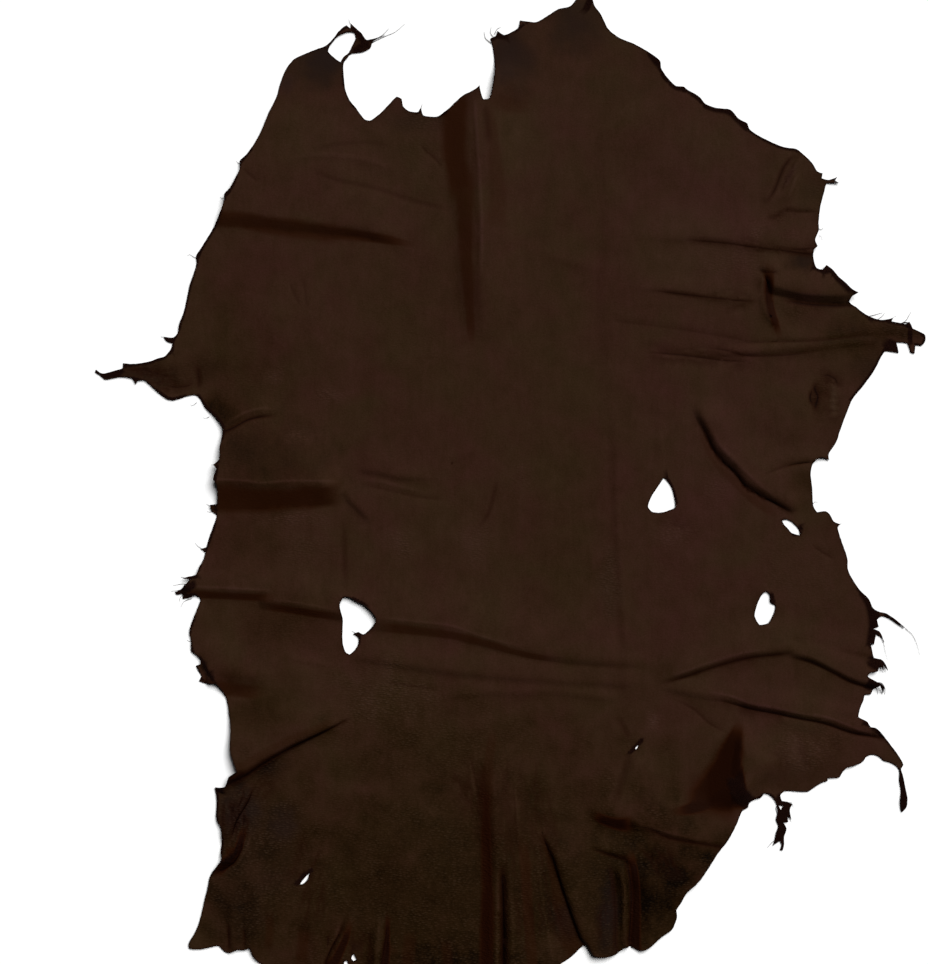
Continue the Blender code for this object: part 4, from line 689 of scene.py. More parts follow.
    Crease("flank roll, light lip", -0.5, 0.22, -0.35,
           [(-42, 0.1), (-38.6, 0.1), (-35, 0), (-32, -0.3), (-29, -0.1), (-25.6, -0.1), (-22.2, -0.2)]),
    Crease("tatter roll, light lip", -0.5, 0.22, -0.31,
           [(-44, -13.2), (-40.6, -13.3), (-37, -13.4), (-33.5, -13.6), (-30.4, -13.8)]),
    Crease("haunch roll, light lip", -0.5, 0.22, -0.26,
           [(-32.6, -14.8), (-29.1, -15.1), (-25.9, -15.6), (-22.6, -16.3)]),
    Crease("haunch roll, light lip, right", -0.5, 0.22, -0.26,
           [(-18, -17.1), (-13, -17.6), (-8.4, -18.2), (-4.6, -19.5), (0.4, -20.8)]),
    Crease("arc, light lip", -0.5, 0.22, -0.26,
           [(17.6, -24.9), (20.6, -23.7), (23.7, -22.6), (28.4, -21.3), (32, -21)]),
    Crease("branch, light lip", -0.5, 0.22, -0.26,
           [(34.2, -21.2), (36.4, -21.8), (39, -23.1), (41.6, -24.4), (44.2, -25.3), (47.2, -26.4)]),
    Crease("hock roll, light lip", -0.6, 0.22, -0.35,
           [(23, -26.4), (26.1, -26.9), (28.8, -27.6), (32, -28.2), (35.2, -28.9), (38.4, -29.4),
            (41.6, -30.6), (45, -31.8)]),
    Crease("haunch overlap, light lip", -0.5, 0.22, -0.31,
           [(-34.6, -35.9), (-32.8, -34.7), (-29.9, -33), (-26.8, -31.5), (-23.8, -30.3), (-21.4, -29.5)]),
    Crease("swag, light lip", -0.5, 0.22, -0.26,
           [(13.6, -42.2), (15.6, -42.9), (18, -43.7), (21, -44.4), (24, -45.2)]),
    Crease("foreleg overlap, light lip", -0.5, 0.22, -0.22,
           [(32.2, 24.4), (35.2, 23.6), (38.2, 23.4), (40.8, 23.4)]),
    Crease("pleat, light ridge", -1, 0.24, -0.4,
           [(-2.7, -47.8), (-2.8, -50), (-2.8, -54), (-2.9, -58), (-3, -62), (-3.1, -66)]),
    Crease("haunch pleat, light ridge", -0.8, 0.24, -0.4,
           [(12.5, -48.3), (13, -50.7), (13.1, -54), (13.2, -58.2), (13.2, -62)]),
    Crease("gather 1, light ridge", -0.8, 0.24, -0.4, [(-22.2, -55), (-23, -57), (-24.4, -59.4)]),
    Crease("gather 2, light ridge", -0.8, 0.24, -0.4,
           [(-17.4, -54.4), (-17.8, -56.7), (-18, -60), (-18.3, -64)]),
    Crease("drape streak 1", -0.5, 0.24, -0.16, [(-0.6, -38), (-0.2, -44), (0.4, -50), (0.8, -56)]),
    Crease("drape streak 2", -0.5, 0.24, -0.16, [(2, -46), (2.6, -51), (3.4, -56), (4.2, -61)]),
    Crease("drape streak 3", -0.5, 0.24, -0.14, [(-1.4, -50), (-1, -55), (-0.8, -61)]),
    Crease("back pit 1", 0.8, 0.24, 0.9, [(-8.6, 2.3), (-8.5, 2.1), (-8.4, 1.9)]),
    Crease("back pit 2", 0.8, 0.2, 0.7, [(-20.5, 5.6), (-20.4, 5.4)]),
    Crease("waist line", 0.8, 0.3, 0.3, [(-20.6, -0.6), (-18, -0.9), (-15, -1.6), (-12, -2.2), (-8.6, -2.4)]),
    Crease("waist light line", -0.6, 0.26, -0.18, [(-20.4, 0), (-17.6, -0.2), (-14.6, -0.9), (-11.6, -1.5)]),
    Crease("rump scratch", -0.4, 0.25, -0.14, [(-12, -40.4), (-11.1, -41.6), (-10, -43)]),
    Crease("scar, dark 1", 0.7, 0.6, 1, [(37.2, 12.6), (36.8, 11.4), (37.2, 10.4), (36.9, 9.2), (37.2, 8.2)]),
    Crease("scar, dark 2", 0.6, 0.45, 1, [(36.4, 11.4), (36.2, 10.2), (36.5, 9.2)]),
    Crease("scar, dark 3", 0.6, 0.34, 0.85, [(37.4, 12.8), (38.4, 13.1), (39.4, 12.6), (39.8, 11.4)]),
    Crease("scar, light", -0.3, 0.35, -0.25, [(38.9, 12.4), (39.2, 10.8), (39.1, 9.2), (39.3, 8)]),
    Crease("left foreleg, fold 1", 0.8, 0.35, 0.74, [(-50, 13.6), (-47.6, 13.8), (-45, 13.2), (-42.4, 12.6)]),
    Crease("left foreleg, fold 2", 0.8, 0.35, 0.74, [(-44.6, 12), (-43, 11.6), (-41.4, 11.8), (-40.4, 12.4)]),
    Crease("left armpit groove", 1.2, 0.42, 1,
           [(-39.6, 5), (-37.3, 5.8), (-35.6, 6.6), (-34, 7.5), (-32.2, 7.9), (-29.8, 7.9)]),
    Crease("left armpit, light ridge", -0.8, 0.26, -0.34,
           [(-37, 6.9), (-34.4, 8.5), (-32.4, 9), (-30.4, 8.9)]),
]

# Fans of fine wrinkles between a first and a last path: (x, y). DEPTH is in mm, and WIDTH half of one.
# DARK is painted shade in each wrinkle's groove. The name also seeds a fan's chances.
Fan = namedtuple("Fan", "name count depth width dark first last")
FANS = [
    Fan("rump, middle", 18, 0.7, 0.2, 0.39,
        [(-3.4, -34), (-2.6, -40), (-2, -46), (-1.2, -53)], [(5, -34), (4.2, -40), (5, -46), (7, -54)]),
    Fan("rump, lower", 10, 0.8, 0.2, 0.43,
        [(-0.8, -50), (-0.4, -56), (-0.2, -61)], [(4, -50), (6, -56), (8, -60)]),
    Fan("haunch, under the swag", 8, 0.7, 0.24, 0.47,
        [(14.6, -45.4), (16, -48), (17, -50.5)], [(18.4, -45.6), (19.6, -48), (20.4, -50)]),
    Fan("haunch pleats", 5, 0.5, 0.22, 0.43,
        [(9.6, -50), (9.8, -54), (10, -58.6)], [(11.8, -50), (12, -54), (12.2, -58.4)]),
    Fan("left of the spine drape", 8, 0.6, 0.26, 0.43,
        [(-9.4, -34), (-7.6, -40), (-6.6, -45)], [(-6, -33), (-5, -40), (-4.6, -46)]),
    Fan("left hind leg", 10, 1, 0.22, 0.8,
        [(-37.4, -39.5), (-36.9, -42), (-36.8, -46)], [(-33, -37.5), (-34.2, -41), (-33.6, -46.5)]),
    Fan("under the haunch overlap", 7, 0.8, 0.2, 0.43,
        [(-37, -39), (-34, -37.6), (-31, -35.8)], [(-34, -41), (-31, -38.6), (-28.4, -36.6)]),
    Fan("left leg, beside the slit", 6, 0.8, 0.24, 0.47,
        [(-25.6, -47), (-27.4, -52), (-29, -57)], [(-23.2, -47), (-24, -52), (-24.6, -57)]),
    Fan("bottom gathers", 8, 1, 0.22, 0.74,
        [(-23.6, -55.5), (-24.6, -58), (-25.2, -61)], [(-18.4, -56), (-19, -58.6), (-19.2, -61.4)]),
    Fan("right arm", 5, 0.45, 0.2, 0.33,
        [(14.6, 17.2), (20, 16.8), (27, 16.4), (34, 16.4)],
        [(14.6, 15.2), (20, 14.9), (27, 14.3), (34, 14.6)]),
    Fan("right shoulder", 4, 0.4, 0.2, 0.33,
        [(24, 30.6), (30, 29.8), (36.8, 28.9)], [(24, 29.2), (30, 28.6), (36.6, 27.8)]),
    Fan("right armpit", 5, 0.5, 0.2, 0.38,
        [(24.5, 24), (28, 24), (30.2, 24.4)], [(24.5, 21.4), (28, 21.4), (30.4, 21.6)]),
    Fan("scar wrinkles", 6, 0.6, 0.2, 0.53,
        [(37.4, 13.2), (39.6, 12.4), (41.4, 11.8)], [(37.2, 7.4), (39.4, 7.4), (40.8, 9)]),
    Fan("left foreleg", 5, 0.7, 0.2, 0.47,
        [(-49.6, 14.2), (-46, 14.2), (-41.8, 14.6)], [(-47.4, 12.6), (-44.6, 11.4), (-41.6, 11.6)]),
    Fan("right flank below the hole", 4, 0.4, 0.2, 0.33,
        [(16.6, -4.6), (18.4, -6), (21, -7.4)], [(18.6, -4.4), (20.4, -5.4), (22.6, -6.4)]),
    Fan("right hock", 6, 0.45, 0.24, 0.33,
        [(28.8, -31), (31, -35), (31.6, -38.6)], [(38.4, -31.2), (40.4, -33.4), (43, -34.6)]),
]

# Patches of the grain that took the dye or the wear differently, as (x, y), a reach each way and a turn
# in degrees. The hollow and the patches named shade are painted shade where folds and overlaps shadow the
# skin. TONE lightens above 0, WARMTH reddens above 0 and turns olive below, COOL greys towards purple,
# and GRAIN coarsens the pebbling.
Patch = namedtuple("Patch", "name x y reach_x reach_y turn tone warmth cool grain")
PATCHES = [
    Patch("whole rump", -8, -52, 44, 28, 0, -0.47, -0.75, 0, 0.75),
    # Painted shade on the slope down into the hollow.
    Patch("hollow", 24.6, -36.6, 3.4, 6.2, -42, -0.1, 0.5, 0, 0),
    Patch("left ribs, wide", -31, 2, 12, 9, 0, -0.34, 0.1, 0.05, 0.1),
    Patch("left hind leg", -34, -46, 9, 14, 0, -0.26, 0.1, 0.15, 0.7),
    Patch("right haunch", 18, -50, 13, 14, 0, -0.5, 0, 0, 0.3),
    Patch("left of the neck pleat", -14, 20, 9, 14, 0, -0.04, -0.55, 0, 0.1),
    Patch("left shoulder", -27, 26, 12, 16, 0, 0.02, 0.45, 0, 0),
    Patch("left shoulder, upper", -25, 44, 10, 8, 0, 0.05, -0.15, 0, 0.05),
    Patch("left ribs", -34, 12, 9, 9, 0, -0.16, -0.3, 0, 0.2),
    Patch("left ribs, dark", -36, 4, 6, 5, 0, -0.15, 0.1, 0.1, 0.2),
    Patch("back", 3, 14, 8, 34, 0, 0, -0.45, 0, 0),
    Patch("back, middle", 5, -8, 7, 16, 0, -0.09, -0.5, 0, 0.05),
    Patch("right side", 22, 6, 14, 34, 0, 0.06, 0.4, 0, 0),
    Patch("right shoulder", 22, 34, 15, 14, 0, 0.14, 0.25, 0, 0),
    Patch("neck", 2, 44, 9, 10, 0, 0.08, -0.25, 0, 0),
    Patch("neck, left", -12, 40, 5, 7, 0, 0, -0.45, 0, 0.15),
    Patch("neck edge", -13, 45, 7, 2.2, 0, -0.12, -0.2, 0.25, 0.4),
    Patch("head rim", -1.5, 53, 4.5, 6, 0, -0.2, 0, 0.8, 0),
    Patch("head rim, brown spot", -1, 47.6, 3.4, 2.2, 20, -0.18, 0.55, 0, 0),
    Patch("head tip", 7, 57, 5, 5, 0, -0.2, 0, 0.6, 0),
    Patch("neck strap", -24.4, 52.6, 6, 4.6, 24, -0.3, 0.2, 1, 0),
    Patch("neck strap, light spot", -29.2, 49.6, 1.6, 1.8, 0, 0.16, 0, 0.6, 0),
    Patch("ear strap", -20, 55.3, 3.4, 1.6, 0, -0.45, 0.1, 0.15, 0.9),
    Patch("left flank", -34, -8, 7, 6, 0, -0.16, 0.15, 0, 0.15),
    Patch("left haunch", -30, -18, 9, 6, 0, -0.24, -0.45, 0, 0.3),
    Patch("haunch reddening", -35.5, -24.6, 4, 2.6, 0, -0.22, 0.9, 0, 0),
    Patch("haunch shade below the dip", -33, -29, 7, 3, 10, -0.32, -0.2, 0, 0.2),
    Patch("below the left hole", -17, -26, 9, 5, 0, 0.14, -0.7, 0, 0.95),
    Patch("rib grain 1", -30.6, 13, 2.2, 1.5, 0, 0.3, 0, 0, 0.9),
    Patch("rib grain 2", -24, 10.4, 2.6, 1.5, 0, 0.24, 0, 0, 0.8),
    Patch("rib grain 3", -27.8, 5.3, 2.4, 1.8, 0, 0.3, -0.1, 0, 0.9),
    Patch("flank grain 1", -29, -4.8, 7, 1.2, 0, 0.2, 0.1, 0, 0.8),
    Patch("flank grain 2", -27, -8.5, 6, 4, 0, 0.08, -0.45, 0, 0.5),
    Patch("waist grain", -15, -8, 3, 3, 0, 0.26, -0.3, 0, 0.8),
    Patch("spine grain", -5.5, -8, 3.4, 4, 0, 0.2, -0.3, 0, 0.5),
    Patch("spine warm spot", 0.3, 0.5, 2.4, 2, 0, 0.12, 0.6, 0, 0.4),
    Patch("packing crease grain", 11.2, -13, 1.8, 8, 0, 0.1, -0.5, 0.15, 0.8),
    Patch("under the side hole", 19.5, -6.6, 4, 3, 0, 0.1, 0.1, 0, 0.5),
    Patch("side, warm", 21, -14, 9, 9, 0, 0.02, 0.45, 0, 0.1),
    Patch("right flank grain", 24.5, -1.5, 2.4, 3.6, 0, 0.14, 0.2, 0, 0.45),
    Patch("right flank spur shade", 35, 0, 3, 2, -30, -0.22, 0.1, 0, 0.1),
    Patch("right rear flank", 34, -12, 7, 8, 0, 0.05, -0.05, 0, 0.25),
    Patch("right hock gold", 35, -33.4, 4, 3.6, 0, 0.34, -0.3, 0, 1),
    Patch("right hock", 37, -32, 9, 5, 0, -0.2, 0.3, 0, 0.5),
    Patch("gold fleck", 16.6, -30, 1.2, 1.6, 0, 0.3, 0, 0, 0.9),
    Patch("swag light 1", 11, -37.5, 1.4, 3, 0, 0.06, 0, 0, 0.6),
    Patch("swag light 2", 16.8, -41.6, 3.4, 1.2, -10, 0.02, 0.1, 0, 0.5),
    Patch("swag shade", 12.4, -42.6, 3.4, 1.6, 0, -0.5, 0.2, 0, 0),
    Patch("spine reddening", -4, -41, 2.4, 8, 0, -0.1, 1, 0, 0.2),
    Patch("rump red streak", -26.6, -57.5, 1.6, 5, 10, -0.2, 0.9, 0, 0.2),
    Patch("rump red streak, middle", 0.6, -52, 1.1, 8, 6, -0.1, 0.8, 0, 0.2),
    Patch("pleat purple", 5.4, -55, 2.6, 3.6, 20, -0.4, 0, 0.8, 0.5),
    Patch("pleat purple 2", 11.2, -54, 1.8, 6, 0, -0.45, 0, 0.7, 0.4),
    Patch("pleat shade", 15.2, -54, 1.8, 6, 0, -0.34, 0.2, 0, 0.2),
    Patch("haunch shade", 20.3, -49.4, 3.2, 1.5, -10, -0.35, 0, 0, 0.3),
    Patch("rump shade, left of the overlap", 2.6, -52, 2.2, 7, 12, -0.2, -0.1, 0, 0.2),
    Patch("bottom edge shade", -8, -60, 14, 4, 0, -0.36, 0.3, 0, 0.6),
    Patch("scar", 37.4, 10.4, 1.7, 3.2, 0, -0.5, 1.2, 0, 0.6),
    Patch("scar, light strip", 39.2, 10.2, 0.9, 2.8, 0, 0.12, -1.2, 0, 0.4),
    Patch("right foreleg", 42, 18, 8, 4, 0, -0.4, -0.35, 0, 0.35),
    Patch("right foreleg, back", 44, 14, 3, 4, -30, -0.3, -0.2, 0.2, 0.3),
    Patch("right arm", 34, 21, 4, 3, 0, -0.14, -0.1, 0, 0.3),
    Patch("right arm, shade under the overlap", 36.4, 21.6, 4.6, 1, 4, -0.25, -0.1, 0, 0.2),
    Patch("right shoulder grain", 27, 27, 7, 3, 0, 0.06, -0.15, 0, 0.4),
    Patch("right shoulder brown patch", 32.2, 32.9, 2, 1.1, 15, -0.18, 0.5, 0, 0.6),
    Patch("right shoulder warm patch", 33.9, 30.8, 2.2, 1.2, 10, 0.02, 0.7, 0, 0.6),
    Patch("right shoulder grain spot", 29.8, 31.2, 1.6, 1.8, 0, 0.25, 0.1, 0, 1),
    Patch("right shoulder rim", 36.5, 36, 2.5, 5, 0, -0.12, -0.3, 0.1, 0.2),
    Patch("right shoulder, inner strip", 33.6, 37.6, 0.9, 2.8, -25, 0.12, 0.3, 0.2, 0.5),
    Patch("right shoulder, cool edge", 35, 27.4, 3, 1.4, 0, -0.6, 0, 0.45, 0),
    Patch("left foreleg", -46, 13, 6, 3, 0, -0.48, 0, 0.2, 0.4),
    Patch("left hind leg, cool", -35.4, -41, 3.4, 4.5, 0, -0.25, 0, 0.85, 0.8),
    Patch("left flank olive strip", -36.6, 20, 2.2, 12, -12, -0.16, -0.6, 0, 0),
    Patch("rump, upper", -12, -31, 22, 7, 0, -0.1, -0.5, 0, 0.4),
    Patch("left hind leg, lower", -35, -55, 6, 6, 0, -0.3, 0, 0.1, 0.3),
    Patch("right foreleg tip", 47.5, 18.6, 3.4, 1.6, -10, -0.35, -0.2, 0.1, 0.6),
    Patch("left armpit", -37.6, 8.6, 3.4, 3, 0, -0.55, 0.3, 0, 0.2),
    Patch("left leg root", -39.6, 14, 3, 3, 0, -0.3, -0.4, 0.1, 0.3),
    Patch("left leg purple", -29.5, -43, 3, 3, 0, -0.1, 0.2, 0.6, 0.6),
    Patch("left leg purple 2", -31, -35.5, 4, 2.4, 25, -0.5, 0.6, 0.3, 0.6),
]

# Stretches where the raw, nearly black fibre of the cut edge shows on top: (x, y) and half their width.
Raw = namedtuple("Raw", "name width path")
RAWS = [
    Raw("right shoulder rim", 0.52,
        [(16.4, 53.2), (17.6, 51.6), (18.4, 50.3), (19.5, 49.2), (20.8, 48.8), (22.3, 47.9), (23.2, 46.9)]),
    Raw("right shoulder rim, thick", 0.6,
        [(23.2, 46.9), (24.3, 46.5), (26.2, 46.1), (27.3, 45.1), (28.5, 44)]),
    Raw("right shoulder rim, thin", 0.34, [(28.5, 44), (31, 42.4), (33, 41.6), (34.6, 41.2)]),
    Raw("right foreleg rim", 0.45,
        [(36.8, 26.6), (37.7, 26.2), (38.9, 26.2), (39.6, 25.3), (41.2, 23.8), (42.1, 23.4)]),
    Raw("right foreleg rim, upper", 0.3, [(41.2, 22.4), (43.5, 20.6), (45, 20.1)]),
    Raw("right foreleg fringe", 0.4, [(43.6, 20.3), (46.4, 19.9), (48.4, 19.4), (48.9, 19)]),
    Raw("right foreleg thong", 0.3, [(48.7, 19.5), (48.7, 18.2), (48.8, 17)]),
    Raw("right foreleg tip", 0.22, [(49.4, 16.9), (50.3, 16.9), (50.6, 17.8), (49.8, 18.7)]),
    Raw("right foreleg flap", 0.75, [(46, 17), (46.9, 16.6), (47.3, 16)]),
    Raw("right foreleg, back rim", 0.3, [(45.8, 16.6), (44.2, 13.7), (42.9, 11.9), (41.4, 10)]),
    Raw("head tip roll", 0.45, [(8.9, 60.4), (8.6, 59.6), (8.3, 58.9)]),
    Raw("head corner", 0.5, [(-3.6, 55.2), (-3, 55.6), (-2, 55.5)]),
    Raw("head rim", 0.2, [(-2, 55.6), (-0.2, 56.4), (0.8, 57.2)]),
    Raw("neck notch", 0.3, [(-12.9, 46), (-12.3, 46.3), (-10.6, 45.5), (-9.2, 46)]),
    Raw("neck edge", 0.22, [(-21.9, 52.4), (-22, 50.2), (-21.4, 47.8), (-20.6, 46.6)]),
    Raw("left haunch edge", 0.2,
        [(-41, -20.6), (-40.7, -21.7), (-39.9, -22.2), (-39.2, -23.3), (-38.5, -24.5), (-37.8, -25.6)]),
    Raw("left haunch flap end", 0.16, [(-40.3, -23.2), (-39.9, -24.6), (-39.2, -25.3)]),
    Raw("left haunch rim", 0.2, [(-40.4, -15.2), (-40.7, -17), (-41.3, -19.1), (-41, -20.6)]),
    Raw("left flank tatters", 0.3, [(-40.4, -12), (-41.3, -12.3), (-41.7, -13), (-42.9, -14.1)]),
    Raw("left flank tatters, web", 0.5, [(-40.7, -13), (-41.6, -13.5), (-42.6, -14)]),
    Raw("left flank tatters, lower", 0.34, [(-43, -14.1), (-42, -14.4), (-40.6, -14.3)]),
    Raw("left flank rim", 0.22,
        [(-37.4, 5.6), (-37.6, 2.4), (-37.9, 0.2), (-37.9, -3), (-38.3, -6), (-39.2, -8.6), (-40.2, -11.4)]),
    Raw("left armpit rim", 0.36, [(-40.2, 10.4), (-39.4, 9.2), (-38.2, 8), (-37.2, 6.8), (-37.2, 5.4)]),
    Raw("left shoulder rim", 0.32,
        [(-33.6, 41.4), (-35, 39.5), (-35.9, 36.8), (-36.9, 35.2), (-38.1, 31.9), (-40, 28.6), (-41.3, 24.2),
         (-42.6, 19.2), (-43.4, 17.4)]),
    Raw("left leg spikes", 0.3, [(-44.5, 17.8), (-43.5, 17.3), (-43.5, 16.2), (-44.6, 15.4)]),
    Raw("left foreleg rim", 0.3, [(-44.6, 15.3), (-46.2, 14.8), (-48.3, 14.5), (-49.6, 14.2)]),
    Raw("left foreleg rim, lower", 0.28,
        [(-48.6, 12.7), (-47.4, 12.4), (-45.2, 11), (-43.6, 10.1), (-42, 10.4)]),
    Raw("left foreleg end", 0.55, [(-53, 13.5), (-51.6, 13.1), (-50, 13.5)]),
    Raw("leg spike", 0.3, [(-38, -38.5), (-37.2, -38.7)]),
    Raw("left hind leg rim", 0.25, [(-37.8, -38.6), (-37.8, -42.5), (-37.2, -44.6), (-37.3, -47)]),
    Raw("hollow", 1, [(26.8, -37.9), (27.6, -39.2), (28.6, -40.3)]),
    Raw("hollow, lip", 0.4, [(28.4, -40.5), (29.6, -39.9), (30.6, -39.3), (31.4, -39.6)]),
    Raw("right flank", 0.8, [(42.8, -13.6), (43.9, -15.6), (44.3, -18), (44, -20.4)]),
    Raw("right flank tatters", 0.8, [(43.9, -22.6), (44.8, -23.2), (45.6, -22.9)]),
    Raw("right haunch tatters", 0.7, [(43.6, -25.6), (44.6, -25.3), (45.3, -26.2)]),
    Raw("right hock lip", 0.22, [(43, -30.3), (44.2, -31), (45.4, -31.9), (47, -34)]),
    Raw("right flank string", 0.4, [(45.6, -16.7), (47.7, -18.2), (49.4, -20), (49.9, -21.9)]),
    Raw("twisted scrap", 1.3, [(33, -40.4), (32.8, -42.4), (32.6, -44.2), (32.4, -46.2)]),
    Raw("leaf-shaped scrap", 0.7, [(47.7, -36.4), (47.9, -38.6), (47.9, -41.2)]),
    Raw("ear strap, dark edge", 0.3, [(-17, 55.5), (-18.4, 55), (-19.4, 54.9)]),
    Raw("ear strap", 0.24, [(-20.3, 56.2), (-21.6, 56.6), (-23.4, 55.3), (-24.4, 54.2)]),
    Raw("ear strap, body", 0.55, [(-20.6, 56.2), (-19.8, 55.4), (-19.2, 54.4), (-20.6, 53.6)]),
    Raw("ear strap, left", 0.3, [(-23.2, 55.6), (-24.6, 54.3), (-26.6, 53.6)]),
    Raw("tear", 0.3, [(13.7, -34.1), (14.4, -33.4), (15.2, -32.5)]),
    Raw("left leg slit", 0.32, [(-26, -48.7), (-26.9, -49.4), (-27.9, -50.4)]),
    Raw("right flank hole flap", 0.45, [(34.2, -6.6), (34.9, -6.5), (35, -6)]),
    Raw("right haunch hole flap", 0.4, [(31.3, -14.3), (31.6, -15.2)]),
    Raw("left haunch hole flap", 0.4, [(-20.2, -19.1), (-20.3, -20.3)]),
    Raw("left haunch hole rim", 0.22, [(-22.2, -15.4), (-22.1, -14.8), (-20.6, -14.9), (-19, -15.7)]),
    Raw("side hole rim", 0.24, [(18.3, 0.4), (19, -1), (19.5, -2.8)]),
]

# Loose fibres and strings at the edge: (x, y), and the thickness at the root in mm.
Strand = namedtuple("Strand", "name thickness path")
STRANDS = [
    Strand("left flank hair", 0.6, [(-39.4, -8.8), (-40.2, -8.3), (-40.6, -7.9)]),
    Strand("right foreleg hair", 0.7, [(47.6, 19.5), (48.3, 20), (48.7, 20.7), (48.9, 21)]),
    Strand("right foreleg hair, low", 0.5, [(46, 19.9), (46.6, 20.3), (47, 20.5)]),
    Strand("right foreleg fringe 1", 0.8, [(43.4, 20.4), (44.2, 20.6), (45.3, 20.9)]),
    Strand("right foreleg fringe 2", 0.7, [(44.6, 20), (45.3, 20.5), (45.6, 20.9)]),
    Strand("right foreleg thong", 3.2, [(48.5, 19.7), (48.8, 19.2), (48.9, 18), (49.1, 16.9), (49.3, 15.9)]),
    Strand("right foreleg thong root", 1.4, [(47.4, 19.5), (48.2, 19.7), (48.8, 19.5), (48.9, 18.9)]),
    Strand("tatter strand", 0.7, [(44.5, -19.1), (45, -19.3), (45.4, -20.1), (45.5, -20.8)]),
    Strand("tatter strand, faint", 0.28, [(45.5, -20.6), (45.7, -21.6), (45.95, -22.6)]),
    Strand("tatter hook 1", 0.8, [(44.2, -22.6), (45.2, -22.8), (45.7, -23.6)]),
    Strand("tatter hook 2", 0.7, [(44.4, -23.4), (45, -23.4), (45.4, -24.1)]),
    Strand("long string", 1, [(44.8, -16.7), (46.2, -17), (47.7, -18.1), (48.4, -18.7)]),
    Strand("long string, faint", 0.45, [(48.2, -18.6), (49, -19.3), (49.6, -20.5), (49.95, -21.9)]),
    Strand("scrap hair", 0.7, [(32, -44.9), (31.5, -45.3), (30.9, -46)]),
    Strand("scrap hair, right", 0.6, [(33.2, -41.6), (33.7, -42.1), (33.9, -42.8)]),
    Strand("scrap hair, top", 0.6, [(33.2, -40.4), (33.9, -40.3), (34.2, -40.9)]),
    Strand("scrap strand", 1.2, [(32.4, -39.2), (32.5, -40.2), (32, -41), (32.3, -42.2)]),
    Strand("left hole hair", 0.8, [(-20.1, -19.4), (-20.6, -19.1), (-21, -18.9)]),
    Strand("shoulder strand", 1.1, [(38, 37.1), (38.8, 37.2), (39.8, 37.1)]),
    Strand("shoulder strand, fork", 0.8, [(38.8, 37.2), (39.2, 37.5), (39.6, 37.9)]),
    Strand("haunch hook", 1.1, [(44.2, -25.3), (45.2, -25.4), (45.6, -26), (45.6, -26.8)]),
    Strand("haunch hook, inner", 0.8, [(44, -25.8), (44.6, -26.1), (44.7, -26.8)]),
    Strand("shoulder hair", 0.35, [(37.4, 30.6), (37.7, 30.3), (37.8, 30)]),
    Strand("ear strap whisker", 0.9, [(-18.2, 55), (-17.2, 55.6), (-16.4, 56.4)]),
    Strand("ear strap whisker, long", 0.7, [(-18.6, 54.6), (-17, 55.4), (-15.6, 56), (-14.4, 57)]),
    Strand("head tuft 1", 0.9, [(-3.6, 54.6), (-4.3, 55.2), (-4.5, 56)]),
    Strand("head tuft 2", 0.7, [(-3.2, 55.2), (-3.7, 55.9), (-3.6, 56.6)]),
    Strand("tatter lace 5", 0.7, [(-40.6, -13.4), (-42, -13), (-43.4, -13.2)]),
    Strand("tatter lace 6", 0.6, [(-41, -14.8), (-42, -15.2), (-42.4, -15.9)]),
    Strand("ear strap whisker, top", 0.6, [(-21, 56.8), (-21.3, 57.2), (-21.4, 57.6)]),
    Strand("tatter lace 1", 0.9, [(-40.4, -12.1), (-41.4, -12.3), (-42.4, -12.1)]),
    Strand("tatter lace 2", 0.8, [(-40.8, -12.6), (-41.6, -13.4), (-42.8, -13.8), (-43.6, -13.9)]),
    Strand("tatter lace 3", 0.8, [(-40.6, -14.2), (-41.6, -14), (-42.4, -14.6), (-42.6, -15.2)]),
    Strand("tatter lace 4", 0.6, [(-41.2, -12.2), (-41.5, -13.2), (-41.3, -14.4), (-41.6, -15.1)]),
    Strand("shoulder barb 1", 0.6, [(-34.8, 39.6), (-35.2, 39.6), (-35.5, 39.9)]),
    Strand("shoulder barb 2", 0.5, [(-36.9, 35.3), (-37.3, 35.2), (-37.5, 35.4)]),
    Strand("shoulder barb 3", 0.6, [(-40.2, 27.6), (-40.8, 27.9), (-41.3, 28.2), (-41.6, 28)]),
    Strand("leg root barb 1", 0.8, [(-43.4, 17.5), (-44, 17.8), (-44.9, 17.9)]),
    Strand("leg root barb 2", 0.5, [(-40.4, 9.7), (-40.9, 9.3), (-41.2, 9.4)]),
    Strand("leg root barb 3", 0.5, [(-38.8, 7.9), (-39.4, 7.7), (-39.6, 7.8)]),
    Strand("flank barb 1", 0.6, [(-37.7, 1.6), (-38.2, 1.9), (-38.6, 1.9)]),
    Strand("flank barb 2", 0.7, [(-38.2, -3.4), (-38.8, -3.2), (-39.2, -3)]),
    Strand("flank barb 3", 0.6, [(-38.2, -3.8), (-38.8, -4), (-39.1, -3.9)]),
    Strand("haunch barb", 0.7, [(-40.9, -20), (-41.3, -20.2), (-41.6, -20)]),
    Strand("right side barb 1", 0.6, [(37.3, 31.4), (37.7, 31.3), (37.9, 31.5)]),
    Strand("right side barb 2", 0.5, [(36.6, -3), (36.9, -2.7), (37.2, -2.8)]),
    Strand("right side barb 3", 0.6, [(39.4, -5.4), (39.9, -5.6), (40.2, -5.4)]),
    Strand("head barb", 0.7, [(-3.2, 55.7), (-2.8, 56.4), (-2.4, 56.6)]),
    Strand("neck barb", 0.7, [(-12.4, 46), (-12.3, 46.7), (-12.2, 47)]),
    Strand("bottom barb", 0.6, [(-33.4, -59), (-33.1, -59.6), (-33.2, -59.9)]),
]


